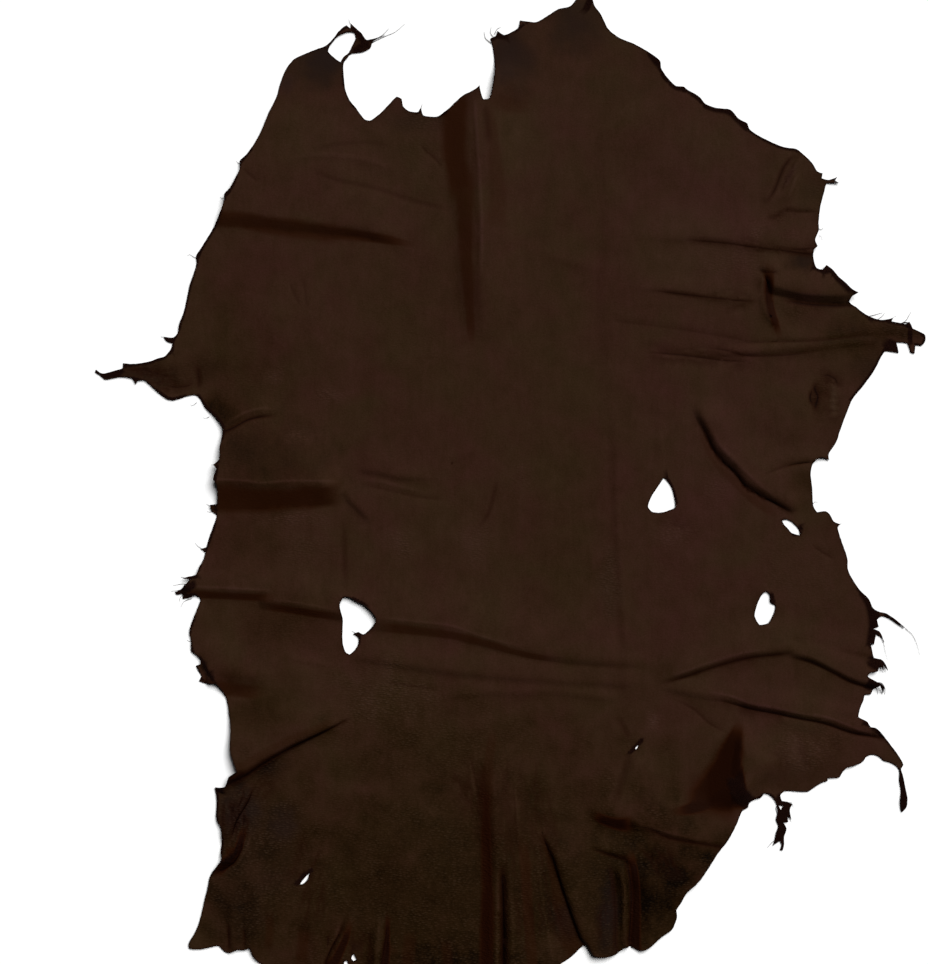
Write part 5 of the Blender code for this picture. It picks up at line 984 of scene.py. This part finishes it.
def curve_through(knots, step, closed=False):
    """Points about STEP apart on a curve through the knots. It is smooth, but turns sharp where they do."""
    knots = [Vector(knot) for knot in knots]
    count = len(knots)
    spans = count if closed else count - 1
    handles = []
    for i, knot in enumerate(knots):
        before = knot - knots[i - 1]
        after = knots[(i + 1) % count] - knot
        on_end = not closed and i in (0, count - 1)
        bend = 1.0 if on_end else max(0.0, before.normalized().dot(after.normalized()))
        along = (after if i == 0 else before) if on_end else before.normalized() + after.normalized()
        handles.append(along.normalized() * bend / 3 if along.length > TINY else Vector((0, 0)))
    points = []
    for i in range(spans):
        start, end = knots[i], knots[(i + 1) % count]
        length = (end - start).length
        pieces = max(1, round(length / step))
        reach = [handles[i] * length, handles[(i + 1) % count] * length]
        points += interpolate_bezier(start, start + reach[0], end - reach[1], end, pieces + 1)[:-1]
    if not closed:
        points.append(knots[-1])
    return np.array([(point.x, point.y) for point in points])


def left_of(path):
    """A unit step to the left of the run, at each point of a path."""
    along = np.gradient(path, axis=0)
    return np.stack([-along[:, 1], along[:, 0]], axis=1) / np.linalg.norm(along, axis=1)[:, None]


def fall(distance, reach):
    """1 at the crest, easing to 0 at REACH from it."""
    share = np.clip(distance / reach, 0, 1)
    return (1 - share**2) ** 2


def ruffle(points, waves, shift=0):
    """Smooth unevenness at each point, from minus the waves' size to their size."""
    scale, seed = waves.scale, waves.seed + shift
    return waves.size * np.array([noise.noise(Vector((x * scale, y * scale, seed))) for x, y in points])


def along_run(size, share):
    """A size at each share of a run, where it is one number or a pair for the two ends."""
    return np.interp(share, (0, 1), np.broadcast_to(size, 2))


def run_sizes(size, path):
    """A size that is one number or a pair, at each point of a path, as a column."""
    return along_run(size, np.linspace(0, 1, len(path)))[:, None]


def crest_of(fold, step):
    """The crest before it leans over, so that the leaning crest comes back to the table's line."""
    crest = curve_through(fold.crest, step)
    return crest + left_of(crest) * fold.tuck


def along_path(path, points):
    """For each point: its distance from the path, how far along it lies, its side (above 0 on the left)
    and the nearest span. Last comes how far along the path each of its own points lies."""
    start, span = path[:-1], np.diff(path, axis=0)
    length = np.linalg.norm(span, axis=1)
    offset = points[:, None, :] - start[None, :, :]
    share = np.clip((offset * span).sum(axis=2) / length**2, 0, 1)
    away = offset - share[:, :, None] * span
    distance = np.linalg.norm(away, axis=2)
    nearest = distance.argmin(axis=1)
    rows = np.arange(len(points))
    ends = np.concatenate([[0], np.cumsum(length)])
    run = ends[nearest] + share[rows, nearest] * length[nearest]
    side = span[nearest, 0] * away[rows, nearest, 1] - span[nearest, 1] * away[rows, nearest, 0]
    return distance[rows, nearest], run, side, nearest, ends


def near_path(path, points, reach):
    """Which points lie in the path's own box, widened by REACH."""
    low, high = path.min(axis=0) - reach, path.max(axis=0) + reach
    return np.flatnonzero(((points >= low) & (points <= high)).all(axis=1))


def fold_rise(fold, points):
    """How far one fold lifts each point and how far it leans it over, in cm."""
    rise, lean = np.zeros(len(points)), np.zeros((len(points), 2))
    crest = crest_of(fold, FOLD_REACH_STEP)
    which = near_path(crest, points, max(fold.wide, np.max(fold.steep)))
    if not len(which):
        return rise, lean
    distance, run, side, nearest, ends = along_path(crest, points[which])
    eased = fall(distance, fold.wide)
    drop = np.clip(distance / along_run(fold.steep, run / ends[-1]), 0, 1)
    drop = (1 - fold.crisp) * (1 - drop**2) ** 2 + fold.crisp * (1 - drop)
    shape = np.where(side > 0, eased, drop)
    past_start = -((points[which] - crest[0]) * (crest[1] - crest[0])).sum(axis=1)
    past_end = ((points[which] - crest[-1]) * (crest[-1] - crest[-2])).sum(axis=1)
    past = np.maximum(np.maximum(past_start / ends[1], past_end / (ends[-1] - ends[-2])), 0)
    beside = np.sqrt(np.maximum(distance**2 - past**2, 0))
    at_end = (run <= 0) | (run >= ends[-1])
    spare = np.where(side > 0, beside, 0)
    shape *= np.where(at_end, fall(past, ROUND_END + spare), 1)
    if fold.fade_in:
        shape *= fall(fold.fade_in + spare - run, fold.fade_in + spare)
    if fold.fade_out:
        shape *= fall(fold.fade_out + spare - (ends[-1] - run), fold.fade_out + spare)
    uneven = 1 + np.interp(run, ends, ruffle(crest, FOLD_WAVES, fold.height))
    rise[which] = fold.height * MM_IN_CM * shape * uneven
    lean[which] = -left_of(crest)[nearest] * (fold.tuck * shape)[:, None]
    return rise, lean


def skin_form(points, edge_distance):
    """The underside's height at each point, and where its folds lean it to, in cm."""
    total, lean = np.zeros(len(points)), np.zeros((len(points), 2))
    for fold in FOLDS:
        rise, tip = fold_rise(fold, points)
        total += rise**CREST_SHARPNESS
        lean += tip
    height = total ** (1 / CREST_SHARPNESS)
    for swell in SWELLS:
        away = (points - (swell.x, swell.y)) / (swell.reach_x, swell.reach_y)
        height += swell.height * MM_IN_CM * fall(np.linalg.norm(away, axis=1), 1)
    height += ruffle(points, BROAD_WAVES) + ruffle(points, FINE_WAVES) + WAVE_LIFT
    height += np.maximum(ruffle(points, EDGE_CURL), 0) * fall(edge_distance, CURL_REACH)
    lean *= (1 - fall(edge_distance, UPRIGHT_EDGE))[:, None]
    return height, lean


def wrinkles(fan):
    """The fan's wrinkles as creases, each of its own length and depth."""
    chance = random.Random(fan.name)
    first, last = np.array(fan.first), np.array(fan.last)
    made = []
    for i in range(fan.count):
        share = (i + chance.uniform(*WRINKLE_PLACE)) / fan.count
        path = first + (last - first) * share
        path = curve_through(path.tolist(), WRINKLE_STEP)
        path += left_of(path) * ruffle(path, WRINKLE_WAVER, i)[:, None]
        start = int(chance.uniform(*WRINKLE_START) * len(path))
        stop = int(chance.uniform(*WRINKLE_STOP) * len(path))
        strength = chance.uniform(*WRINKLE_STRENGTH)
        depth, dark = fan.depth * strength, fan.dark * strength
        made.append(Crease(fan.name, depth, fan.width, dark, path[start:stop].tolist()))
    return made


def crease_marks(points):
    """What the creases do at each point: how far they lower the grain, in cm, how dark their lines and
    their flat bands are painted, which is mostly painted shade, and how pale they leave it, which is
    mostly painted highlight on the lips and ridges of folds."""
    groove, line, band, pale = (np.zeros(len(points)) for _ in range(4))
    fine = [wrinkle for fan in FANS for wrinkle in wrinkles(fan)]
    for i, crease in enumerate(CREASES + fine):
        path = curve_through(crease.path, CREASE_REACH_STEP)
        which = near_path(path, points, np.max(crease.width) * (1 + WOBBLE_ROOM))
        if not len(which):
            continue
        distance, run, _, _, ends = along_path(path, points[which])
        wobble = 1 + np.interp(run, ends, ruffle(path, LINE_WOBBLE if crease.depth else BAND_WOBBLE, i))
        ease = min(LONGEST_EASE, ends[-1] * EASE_SHARE)
        width = along_run(crease.width, run / ends[-1]) * wobble
        core = 0 if crease.depth else width * FLAT_CORE
        shape = fall(np.maximum(distance - core, 0), width - core)
        shape *= fall(ease - run, ease) * fall(ease - (ends[-1] - run), ease)
        groove[which] += crease.depth * MM_IN_CM * shape
        shaded = line if crease.depth else band
        shaded[which] = np.maximum(shaded[which], crease.dark * shape)
        pale[which] = np.maximum(pale[which], -crease.dark * shape)
    return groove, np.clip(line, 0, 1), np.clip(band, 0, 1), pale


def patch_marks(points):
    """The tone, warmth, coolness and coarseness of the grain at each point; the tone also carries the painted
    shade of the hollow and the patches named shade.
    """
    marks = np.zeros((len(points), 4))
    stray = sum(np.stack([ruffle(points, waves), ruffle(points, waves, 1)], axis=1) for waves in PATCH_WAVES)
    for patch in PATCHES:
        turn = math.radians(patch.turn)
        axes = np.array([[math.cos(turn), -math.sin(turn)], [math.sin(turn), math.cos(turn)]])
        away = (points - (patch.x, patch.y)) @ axes / (patch.reach_x, patch.reach_y) + stray * PATCH_STRAY
        share = fall(np.linalg.norm(away, axis=1), 1)
        marks += share[:, None] * (patch.tone, patch.warmth, patch.cool, patch.grain)
    return marks


def raw_marks(points):
    """How much raw fibre shows at each point, from 0 to 1."""
    raw = np.zeros(len(points))
    stray = ruffle(points, RAW_WAVES)
    for stretch in RAWS:
        path = curve_through(stretch.path, RAW_REACH_STEP)
        which = near_path(path, points, stretch.width * (1 + RAW_ROOM))
        if len(which):
            distance = along_path(path, points[which])[0]
            share = 1 - distance / stretch.width + stray[which]
            raw[which] = np.maximum(raw[which], np.clip(share * RAW_SHARPNESS, 0, 1))
    return raw


def inside(points, ring):
    """Whether each point lies inside the ring, by the even-odd rule."""
    found = np.zeros(len(points), bool)
    for (x0, y0), (x1, y1) in zip(ring, np.roll(ring, -1, axis=0)):
        if y0 == y1:
            continue
        level = (points[:, 1] > y0) != (points[:, 1] > y1)
        found ^= level & (points[:, 0] < x0 + (points[:, 1] - y0) * (x1 - x0) / (y1 - y0))
    return found


def cut_edges():
    """The outline and the holes as rings of points, with the slight unevenness of torn fibre."""
    outline = [point for stretch in EDGE.values() for point in stretch]
    rings = [curve_through(ring, EDGE_STEP, closed=True) for ring in (outline, *HOLES.values())]
    return [ring + left_of(ring) * ruffle(ring, EDGE_FRAY)[:, None] for ring in rings]


def fold_rows(fold):
    """Points in rows along a fold, closer where it drops."""
    crest = crest_of(fold, FOLD_STEP)
    left = left_of(crest)
    reach = run_sizes(fold.steep, crest)
    shares = HIGH_FOLD_ROWS if fold.height > HIGH_FOLD else LOW_FOLD_ROWS
    rows = [crest] + [crest - left * reach * share for share in shares]
    return rows + [crest + left * fold.wide * share for share in WIDE_SIDE_ROWS]


def crease_rows(crease, shares):
    """Points in rows along a fine crease, at shares of its width to its left."""
    path = curve_through(crease.path, CREASE_STEP)
    reach = left_of(path) * run_sizes(crease.width, path)
    return [path + reach * share for share in shares]


def edge_rows(ring):
    """Points in rows beside a cut edge, on both sides of it."""
    left = left_of(ring)
    return [ring + left * distance * side for distance in EDGE_ROWS for side in (1, -1)]


def honeycomb(step):
    """An even spread of points over the whole skin."""
    (left, bottom), (right, top) = SPREAD_BOX
    return np.array([
        (x, y + (i % 2) * step / 2)
        for i, x in enumerate(np.arange(left, right, step * COLUMN_PITCH))
        for y in np.arange(bottom, top, step)
    ])


def distance_tree(rings):
    """A lookup for the distance to the nearest cut edge."""
    fine = np.concatenate([
        ring + (np.roll(ring, -1, axis=0) - ring) * share
        for ring in rings
        for share in (0, 0.2, 0.4, 0.6, 0.8)
    ])
    tree = kdtree.KDTree(len(fine))
    for i, (x, y) in enumerate(fine):
        tree.insert((x, y, 0), i)
    tree.balance()
    return tree


def edge_distances(tree, points):
    """The distance from each point to the nearest cut edge."""
    return np.array([tree.find((x, y, 0))[2] for x, y in points])


def inner_points(rings, tree):
    """The mesh's points inside the skin: rows at edges, creases and folds, and a spread over the rest."""
    groups = [(row, EDGE_GAP) for ring in rings for row in edge_rows(ring)]
    groups += [(row, CREASE_GAP) for crease in CREASES for row in crease_rows(crease, CREASE_ROWS)]
    fine_lines = [line for fan in FANS for line in wrinkles(fan)]
    groups += [(row, WRINKLE_GAP) for line in fine_lines for row in crease_rows(line, WRINKLE_ROWS)]
    groups += [(row, RAW_GAP) for stretch in RAWS for row in crease_rows(stretch, RAW_ROWS)]
    groups += [(row, FOLD_GAP) for fold in FOLDS for row in fold_rows(fold)]
    fine = honeycomb(FOLD_GRID)
    height = skin_form(fine, np.full(len(fine), FAR_FROM_EDGE))[0]
    ruffled = (height > RAISED) | (patch_marks(fine)[:, 3] > COARSE)
    groups += [(fine[ruffled], FOLD_GRID_GAP), (honeycomb(FLAT_GRID), FLAT_GRID_GAP)]
    points = np.concatenate([row for row, _ in groups])
    gaps = np.concatenate([np.full(len(row), gap) for row, gap in groups])
    within = inside(points, rings[0])
    for hole in rings[1:]:
        within &= ~inside(points, hole)
    within &= edge_distances(tree, points) > np.minimum(gaps, RIM_GAP)
    return spread_out(points[within], gaps[within])


def spread_out(points, gaps):
    """The points in turn, leaving out each that lies within its gap of an earlier one."""
    kept, cells = [], {}
    for (x, y), gap in zip(points.tolist(), gaps.tolist()):
        i, j = int(x // LARGEST_GAP), int(y // LARGEST_GAP)
        cells_near = [(a, b) for a in (i - 1, i, i + 1) for b in (j - 1, j, j + 1)]
        around = [near for cell in cells_near for near in cells.get(cell, ())]
        if all((x - px) ** 2 + (y - py) ** 2 >= gap**2 for px, py in around):
            kept.append((x, y))
            cells.setdefault((i, j), []).append((x, y))
    return np.array(kept)


def flat_skin():
    """The points and triangles of the skin laid out flat, and each point's distance from the cut edge."""
    rings = cut_edges()
    tree = distance_tree(rings)
    points = np.concatenate(rings + [inner_points(rings, tree)])
    borders = []
    first = 0
    for ring in rings:
        count = len(ring)
        borders += [(first + i, first + (i + 1) % count) for i in range(count)]
        first += count
    inside_only = 1
    found = delaunay_2d_cdt([Vector(point) for point in points], borders, [], inside_only, SAME_POINT)
    flat = np.array([(point.x, point.y) for point in found[0]])
    triangles = np.array(found[2])
    middles = flat[triangles].mean(axis=1)
    for hole in rings[1:]:
        is_skin = ~inside(middles, hole)
        triangles, middles = triangles[is_skin], middles[is_skin]
    return flat, triangles.tolist(), edge_distances(tree, flat)


def placed(name, data):
    """A new object in the scene."""
    made = bpy.data.objects.new(name, data)
    bpy.context.collection.objects.link(made)
    return made


def mesh_from(name, sheet):
    """A mesh made from a bmesh, which is then freed."""
    mesh = bpy.data.meshes.new(name)
    sheet.to_mesh(mesh)
    sheet.free()
    return mesh


def leather_hide():
    """The skin: its flat triangles raised into the folds, then given their thickness."""
    flat, triangles, edge_distance = flat_skin()
    height, lean = skin_form(flat, edge_distance)
    groove, line, band, pale = crease_marks(flat)
    tone, warmth, cool, grain = patch_marks(flat).T
    level = height - groove
    columns = {
        "rim": fall(edge_distance, RIM_REACH),
        "raw": raw_marks(flat),
        "crease": line,
        "band": band,
        # The pale share of the creases is painted highlight on fold lips and ridges, besides a few scratches
        # and light scars.
        "tone": tone + pale,
        "warmth": warmth,
        "cool": np.clip(cool, 0, 1),
        "grain": np.clip(grain, 0, 1),
        "sunk": np.minimum(level, 0),
    }
    sheet = bmesh.new()
    layers = {name: sheet.verts.layers.float.new(name) for name in columns}
    corners = []
    for i, (x, y) in enumerate((flat + lean).tolist()):
        corner = sheet.verts.new((x * CM, y * CM, max(level[i], 0) * CM))
        for name, layer in layers.items():
            corner[layer] = columns[name][i]
        corners.append(corner)
    for triangle in triangles:
        sheet.faces.new([corners[i] for i in triangle])
    bmesh.ops.delete(sheet, geom=[v for v in sheet.verts if not v.link_faces], context="VERTS")
    sheet.normal_update()
    for face in sheet.faces:
        face.material_index = FLESH_SLOT
    made = bmesh.ops.extrude_face_region(sheet, geom=sheet.faces[:])["geom"]
    for vert in (item for item in made if isinstance(item, bmesh.types.BMVert)):
        lift = max(SKIN_THICKNESS + vert[layers["sunk"]], THINNEST)
        vert.co += vert.normal * lift * CM
    bmesh.ops.recalc_face_normals(sheet, faces=sheet.faces[:])
    for face in (item for item in made if isinstance(item, bmesh.types.BMFace)):
        face.material_index = GRAIN_SLOT
    mesh = mesh_from("leather_hide", sheet)
    mesh.shade_smooth()
    mesh.set_sharp_from_angle(angle=SHARP_ANGLE)
    return placed("leather_hide", mesh)


def edge_fibres():
    """The loose strings at the cut edge, thinning to their tips."""
    curve = bpy.data.curves.new("edge fibres", "CURVE")
    curve.dimensions = "3D"
    curve.bevel_depth = 0.5 * MM_IN_CM * CM
    curve.bevel_resolution = 1
    curve.use_fill_caps = True
    for strand in STRANDS:
        path = curve_through(strand.path, STRAND_STEP)
        spline = curve.splines.new("POLY")
        spline.points.add(len(path) - 1)
        for i, (x, y) in enumerate(path):
            share = i / (len(path) - 1)
            thickness = strand.thickness * (1 - STRAND_TAPER * share)
            above = max(STRAND_HEIGHT - STRAND_DROP * share, 0.5 * thickness * MM_IN_CM)
            spline.points[i].co = (x * CM, y * CM, above * CM, 1)
            spline.points[i].radius = thickness
    made = placed("strings", curve)
    evaluated = made.evaluated_get(bpy.context.evaluated_depsgraph_get())
    sheet = bmesh.new()
    sheet.from_mesh(bpy.data.meshes.new_from_object(evaluated))
    bpy.data.objects.remove(made)
    bmesh.ops.remove_doubles(sheet, verts=sheet.verts[:], dist=TINY)
    mesh = mesh_from("edge_fibres", sheet)
    mesh.shade_smooth()
    return placed("edge_fibres", mesh)


class Nodes:
    """Short ways to add nodes to a tree. Each plug takes a number, a colour or another node's output."""

    def __init__(self, tree):
        self.tree = tree

    def add(self, kind, plugs=None, **settings):
        """A node of that kind."""
        made = self.tree.nodes.new(kind)
        for name, value in settings.items():
            setattr(made, name, value)
        for plug, value in (plugs or {}).items():
            self.plug(made.inputs[plug], value)
        return made

    def plug(self, socket, value):
        """Link another node's output to a socket, or set the socket's own value."""
        if isinstance(value, bpy.types.NodeSocket):
            self.tree.links.new(value, socket)
        else:
            socket.default_value = value

    def mix(self, share, first, second, blend="MIX"):
        """Two colours mixed by a share."""
        plugs = {0: share, 6: first, 7: second}
        return self.add("ShaderNodeMix", plugs, data_type="RGBA", blend_type=blend).outputs[2]

    def math(self, operation, first, second):
        """Two numbers worked on together."""
        return self.add("ShaderNodeMath", {0: first, 1: second}, operation=operation).outputs[0]

    def total(self, first, *others):
        """Numbers added up."""
        for other in others:
            first = self.math("ADD", first, other)
        return first

    def product(self, first, second):
        """Two numbers multiplied."""
        return self.math("MULTIPLY", first, second)

    def spread(self, value, low, high, to_low, to_high):
        """A number's range from LOW to HIGH, widened or narrowed to another."""
        plugs = {0: value, 1: low, 2: high, 3: to_low, 4: to_high}
        return self.add("ShaderNodeMapRange", plugs, clamp=True).outputs[0]

    def share(self, value, low, high):
        """0 at LOW and 1 at HIGH."""
        return self.spread(value, low, high, 0, 1)

    def swing(self, cloudy, size, reach=0.2):
        """Cloudy noise as a number from -SIZE to SIZE, reached at REACH from its middle."""
        return self.spread(cloudy, 0.5 - reach, 0.5 + reach, -size, size)

    def mark(self, name):
        """What the mesh says about a point, such as how raw its fibre is."""
        return self.add("ShaderNodeAttribute", attribute_name=name).outputs["Fac"]

    def drawn_out(self, where, factors, turn):
        """The same place, drawn out so that a pattern runs along one direction."""
        plugs = {"Vector": where, "Scale": factors, "Rotation": (0, 0, turn)}
        return self.add("ShaderNodeMapping", plugs).outputs[0]

    def clouds(self, where, look):
        """Cloudy noise from about 0.3 to 0.7."""
        if look.factors:
            where = self.drawn_out(where, look.factors, look.turn)
        plugs = {"Vector": where, "Scale": look.scale, "Detail": look.detail, "Roughness": look.roughness}
        return self.add("ShaderNodeTexNoise", {**plugs, "Distortion": look.distortion}).outputs[0]


def new_material(name):
    """A material, the nodes to build it with, and the place on the piece."""
    material = bpy.data.materials.new(name)
    material.use_nodes = True
    nodes = Nodes(material.node_tree)
    return material, nodes, nodes.add("ShaderNodeTexCoord").outputs["Object"]


def cover(nodes, colour, roughness, height, bump):
    """Give the shader its colour, its roughness and its bumps, of a strength and a depth in metres."""
    plugs = {"Height": height, "Strength": bump[0], "Distance": bump[1]}
    normal = nodes.add("ShaderNodeBump", plugs).outputs[0]
    looks = {"Base Color": colour, "Roughness": roughness, "Normal": normal, "Specular IOR Level": SHEEN}
    for plug, value in looks.items():
        nodes.plug(nodes.tree.nodes["Principled BSDF"].inputs[plug], value)


def grain_leather():
    """The dyed grain side: mottled brown with a fine pebble and raw at the edge, with painted shade in the
    creases and fold bands and painted glints on the pebbles.
    """
    material, nodes, where = new_material("dark brown grain leather")
    grain, crease, band = nodes.mark("grain"), nodes.mark("crease"), nodes.mark("band")
    mottle, streaks = nodes.clouds(where, MOTTLE), nodes.clouds(where, STREAKS)

    blotch = nodes.swing(nodes.clouds(where, BLOTCHES), BLOTCH_WARMTH, BLOTCH_REACH)
    warmth = nodes.total(
        nodes.product(blotch, nodes.spread(grain, *BLOTCHES_LEFT)),
        nodes.mark("warmth"),
        nodes.swing(streaks, STREAK_WARMTH, STREAK_REACH),
    )
    dye = nodes.mix(nodes.share(warmth, -FULL_WARMTH, FULL_WARMTH), DYE_OLIVE, DYE_RED)

    coarse = nodes.product(grain, nodes.spread(nodes.clouds(where, PATCHY), *COARSENESS))
    pebbled = nodes.drawn_out(where, PEBBLE_FACTORS, PEBBLE_TURN)
    cells = {"Vector": pebbled, "Scale": PEBBLE_SCALE, "Randomness": PEBBLE_RANDOMNESS}
    pebbles = nodes.add("ShaderNodeTexVoronoi", cells)
    pebble = nodes.spread(pebbles.outputs["Distance"], *PEBBLE_SLOPE)

    tone = nodes.total(
        nodes.mark("tone"),
        nodes.swing(mottle, MOTTLE_TONE),
        nodes.swing(streaks, STREAK_TONE),
        nodes.swing(nodes.clouds(where, BRUSHING), BRUSHING_TONE),
        nodes.swing(nodes.clouds(where, SPECKLE), SPECKLE_TONE),
        nodes.product(pebble, nodes.product(coarse, PEBBLE_TONE)),
    )
    shade = nodes.math("MAXIMUM", nodes.total(tone, 1), DARKEST_SHADE)
    shades = {0: shade, 1: nodes.math("POWER", shade, GREEN_POWER), 2: nodes.math("POWER", shade, BLUE_POWER)}
    dye = nodes.mix(1, dye, nodes.add("ShaderNodeCombineColor", shades).outputs[0], "MULTIPLY")
    dye = nodes.mix(nodes.mark("cool"), dye, DYE_COOL)
    # Painted highlight: pale glints on some of the pebbles of the coarse grain.
    some = nodes.share(pebbles.outputs["Color"], *GLINT_CHANCE)
    glint = nodes.product(nodes.share(pebble, 0, 1), some)
    dye = nodes.mix(nodes.product(glint, nodes.product(coarse, PEBBLE_GLINT)), dye, PAINTED_GLINT)

    # Painted shade in the flat bands along fold drops, overlaps and hollows, darkening towards near black.
    deep = nodes.mix(nodes.share(band, *BAND_BLACKENS), BAND_SHADE_AND_STAIN, NEAR_BLACK)
    dye = nodes.mix(nodes.share(band, *BAND_DEEPENS), dye, deep)
    # Painted shade in the grooves of creases and wrinkles, besides the dark of a few scars.
    dye = nodes.mix(crease, dye, nodes.mix(nodes.share(crease, *LINE_BLACKENS), GROOVE_SHADE_AND_SCAR, NEAR_BLACK))
    fray = nodes.clouds(where, FRAY)
    raw = nodes.math("MAXIMUM", nodes.mark("raw"), nodes.product(nodes.mark("rim"), RIM_RAWNESS))
    dye = nodes.mix(raw, dye, nodes.mix(nodes.spread(fray, *FRAY_REDNESS), RAW_FIBRE, DYE_RED))

    height = nodes.total(
        nodes.product(pebble, nodes.spread(coarse, 0, 1, *PEBBLE_HEIGHT)),
        nodes.product(nodes.clouds(where, WRINKLE), nodes.spread(coarse, 0, 1, *WRINKLE_HEIGHT)),
        nodes.product(fray, nodes.product(raw, FRAY_HEIGHT)),
    )
    rough = nodes.total(nodes.spread(mottle, *GRAIN_ROUGHNESS), nodes.product(raw, RAW_ROUGHNESS))
    cover(nodes, dye, rough, height, GRAIN_BUMP)
    return material


def flesh_leather():
    """The suede underside and the cut edge: dull, napped and darker at the rim."""
    material, nodes, where = new_material("suede flesh side")
    nap = nodes.clouds(where, NAP)
    suede = nodes.mix(nodes.spread(nodes.clouds(where, SUEDE), *SUEDE_OLIVE), FLESH_SIDE, DYE_OLIVE)
    suede = nodes.mix(nodes.spread(nap, *NAP_SHADE), suede, NEAR_BLACK)
    suede = nodes.mix(nodes.math("MAXIMUM", nodes.mark("rim"), nodes.mark("raw")), suede, RAW_FIBRE)
    cover(nodes, suede, SUEDE_ROUGHNESS, nap, SUEDE_BUMP)
    return material


def fibre_leather():
    """The dark fibre of the loose strings."""
    material, nodes, where = new_material("raw leather fibre")
    fibre = nodes.clouds(where, FIBRE)
    cover(nodes, nodes.mix(fibre, RAW_FIBRE, DYE_RED), FIBRE_ROUGHNESS, fibre, FIBRE_BUMP)
    return material


def pale_floor():
    """A wide pale floor, a hair below the hide."""
    sheet = bmesh.new()
    bmesh.ops.create_grid(sheet, x_segments=1, y_segments=1, size=FLOOR_REACH)
    bmesh.ops.translate(sheet, verts=sheet.verts[:], vec=(0, 0, -FLOOR_GAP))
    mesh = mesh_from("floor", sheet)
    material = bpy.data.materials.new("pale floor")
    material.use_nodes = True
    shader = material.node_tree.nodes["Principled BSDF"]
    shader.inputs["Base Color"].default_value = FLOOR_COLOUR
    shader.inputs["Roughness"].default_value = FLOOR_ROUGHNESS
    shader.inputs["Specular IOR Level"].default_value = FLOOR_SHEEN
    mesh.materials.append(material)
    return placed("floor", mesh)


def studio_light():
    """One wide soft light from beyond the neck, and a dome that is brighter on that side."""
    lamp = bpy.data.lights.new("key", "SUN")
    lamp.energy = KEY_POWER
    lamp.angle = math.radians(KEY_WIDTH)
    placed("key", lamp).rotation_euler = TO_KEY.to_track_quat("Z", "Y").to_euler()

    world = bpy.data.worlds.new("studio dome")
    bpy.context.scene.world = world
    world.use_nodes = True
    nodes = Nodes(world.node_tree)
    towards = nodes.add("ShaderNodeTexCoord").outputs["Generated"]
    plugs = {0: towards, 1: TO_KEY.normalized()}
    facing = nodes.add("ShaderNodeVectorMath", plugs, operation="DOT_PRODUCT").outputs["Value"]
    strength = nodes.spread(facing, DOME_FROM, 1, DOME_LOW, DOME_HIGH)
    nodes.plug(nodes.tree.nodes["Background"].inputs["Strength"], strength)


def camera_above():
    """A camera straight above the hide, with +Y up in its view."""
    data = bpy.data.cameras.new("camera")
    data.lens = LENS
    data.sensor_width = SENSOR
    data.clip_end = FARTHEST_SEEN
    camera = placed("camera", data)
    camera.location = (*CAMERA_MIDDLE, VIEW_HEIGHT * LENS / SENSOR)
    bpy.context.scene.camera = camera


def main():
    """The hide with its strings, the floor under it, the light and the camera."""
    hide = leather_hide()
    hide.data.materials.append(grain_leather())
    hide.data.materials.append(flesh_leather())
    fibres = edge_fibres()
    fibres.data.materials.append(fibre_leather())
    for piece in (hide, fibres):
        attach(piece, "root")
    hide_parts("hide")
    floor = pale_floor()
    studio_light()
    camera_above()
    bpy.context.scene.view_settings.view_transform = "Standard"
    print("triangles", len(hide.data.polygons), "points", len(hide.data.vertices))


main()
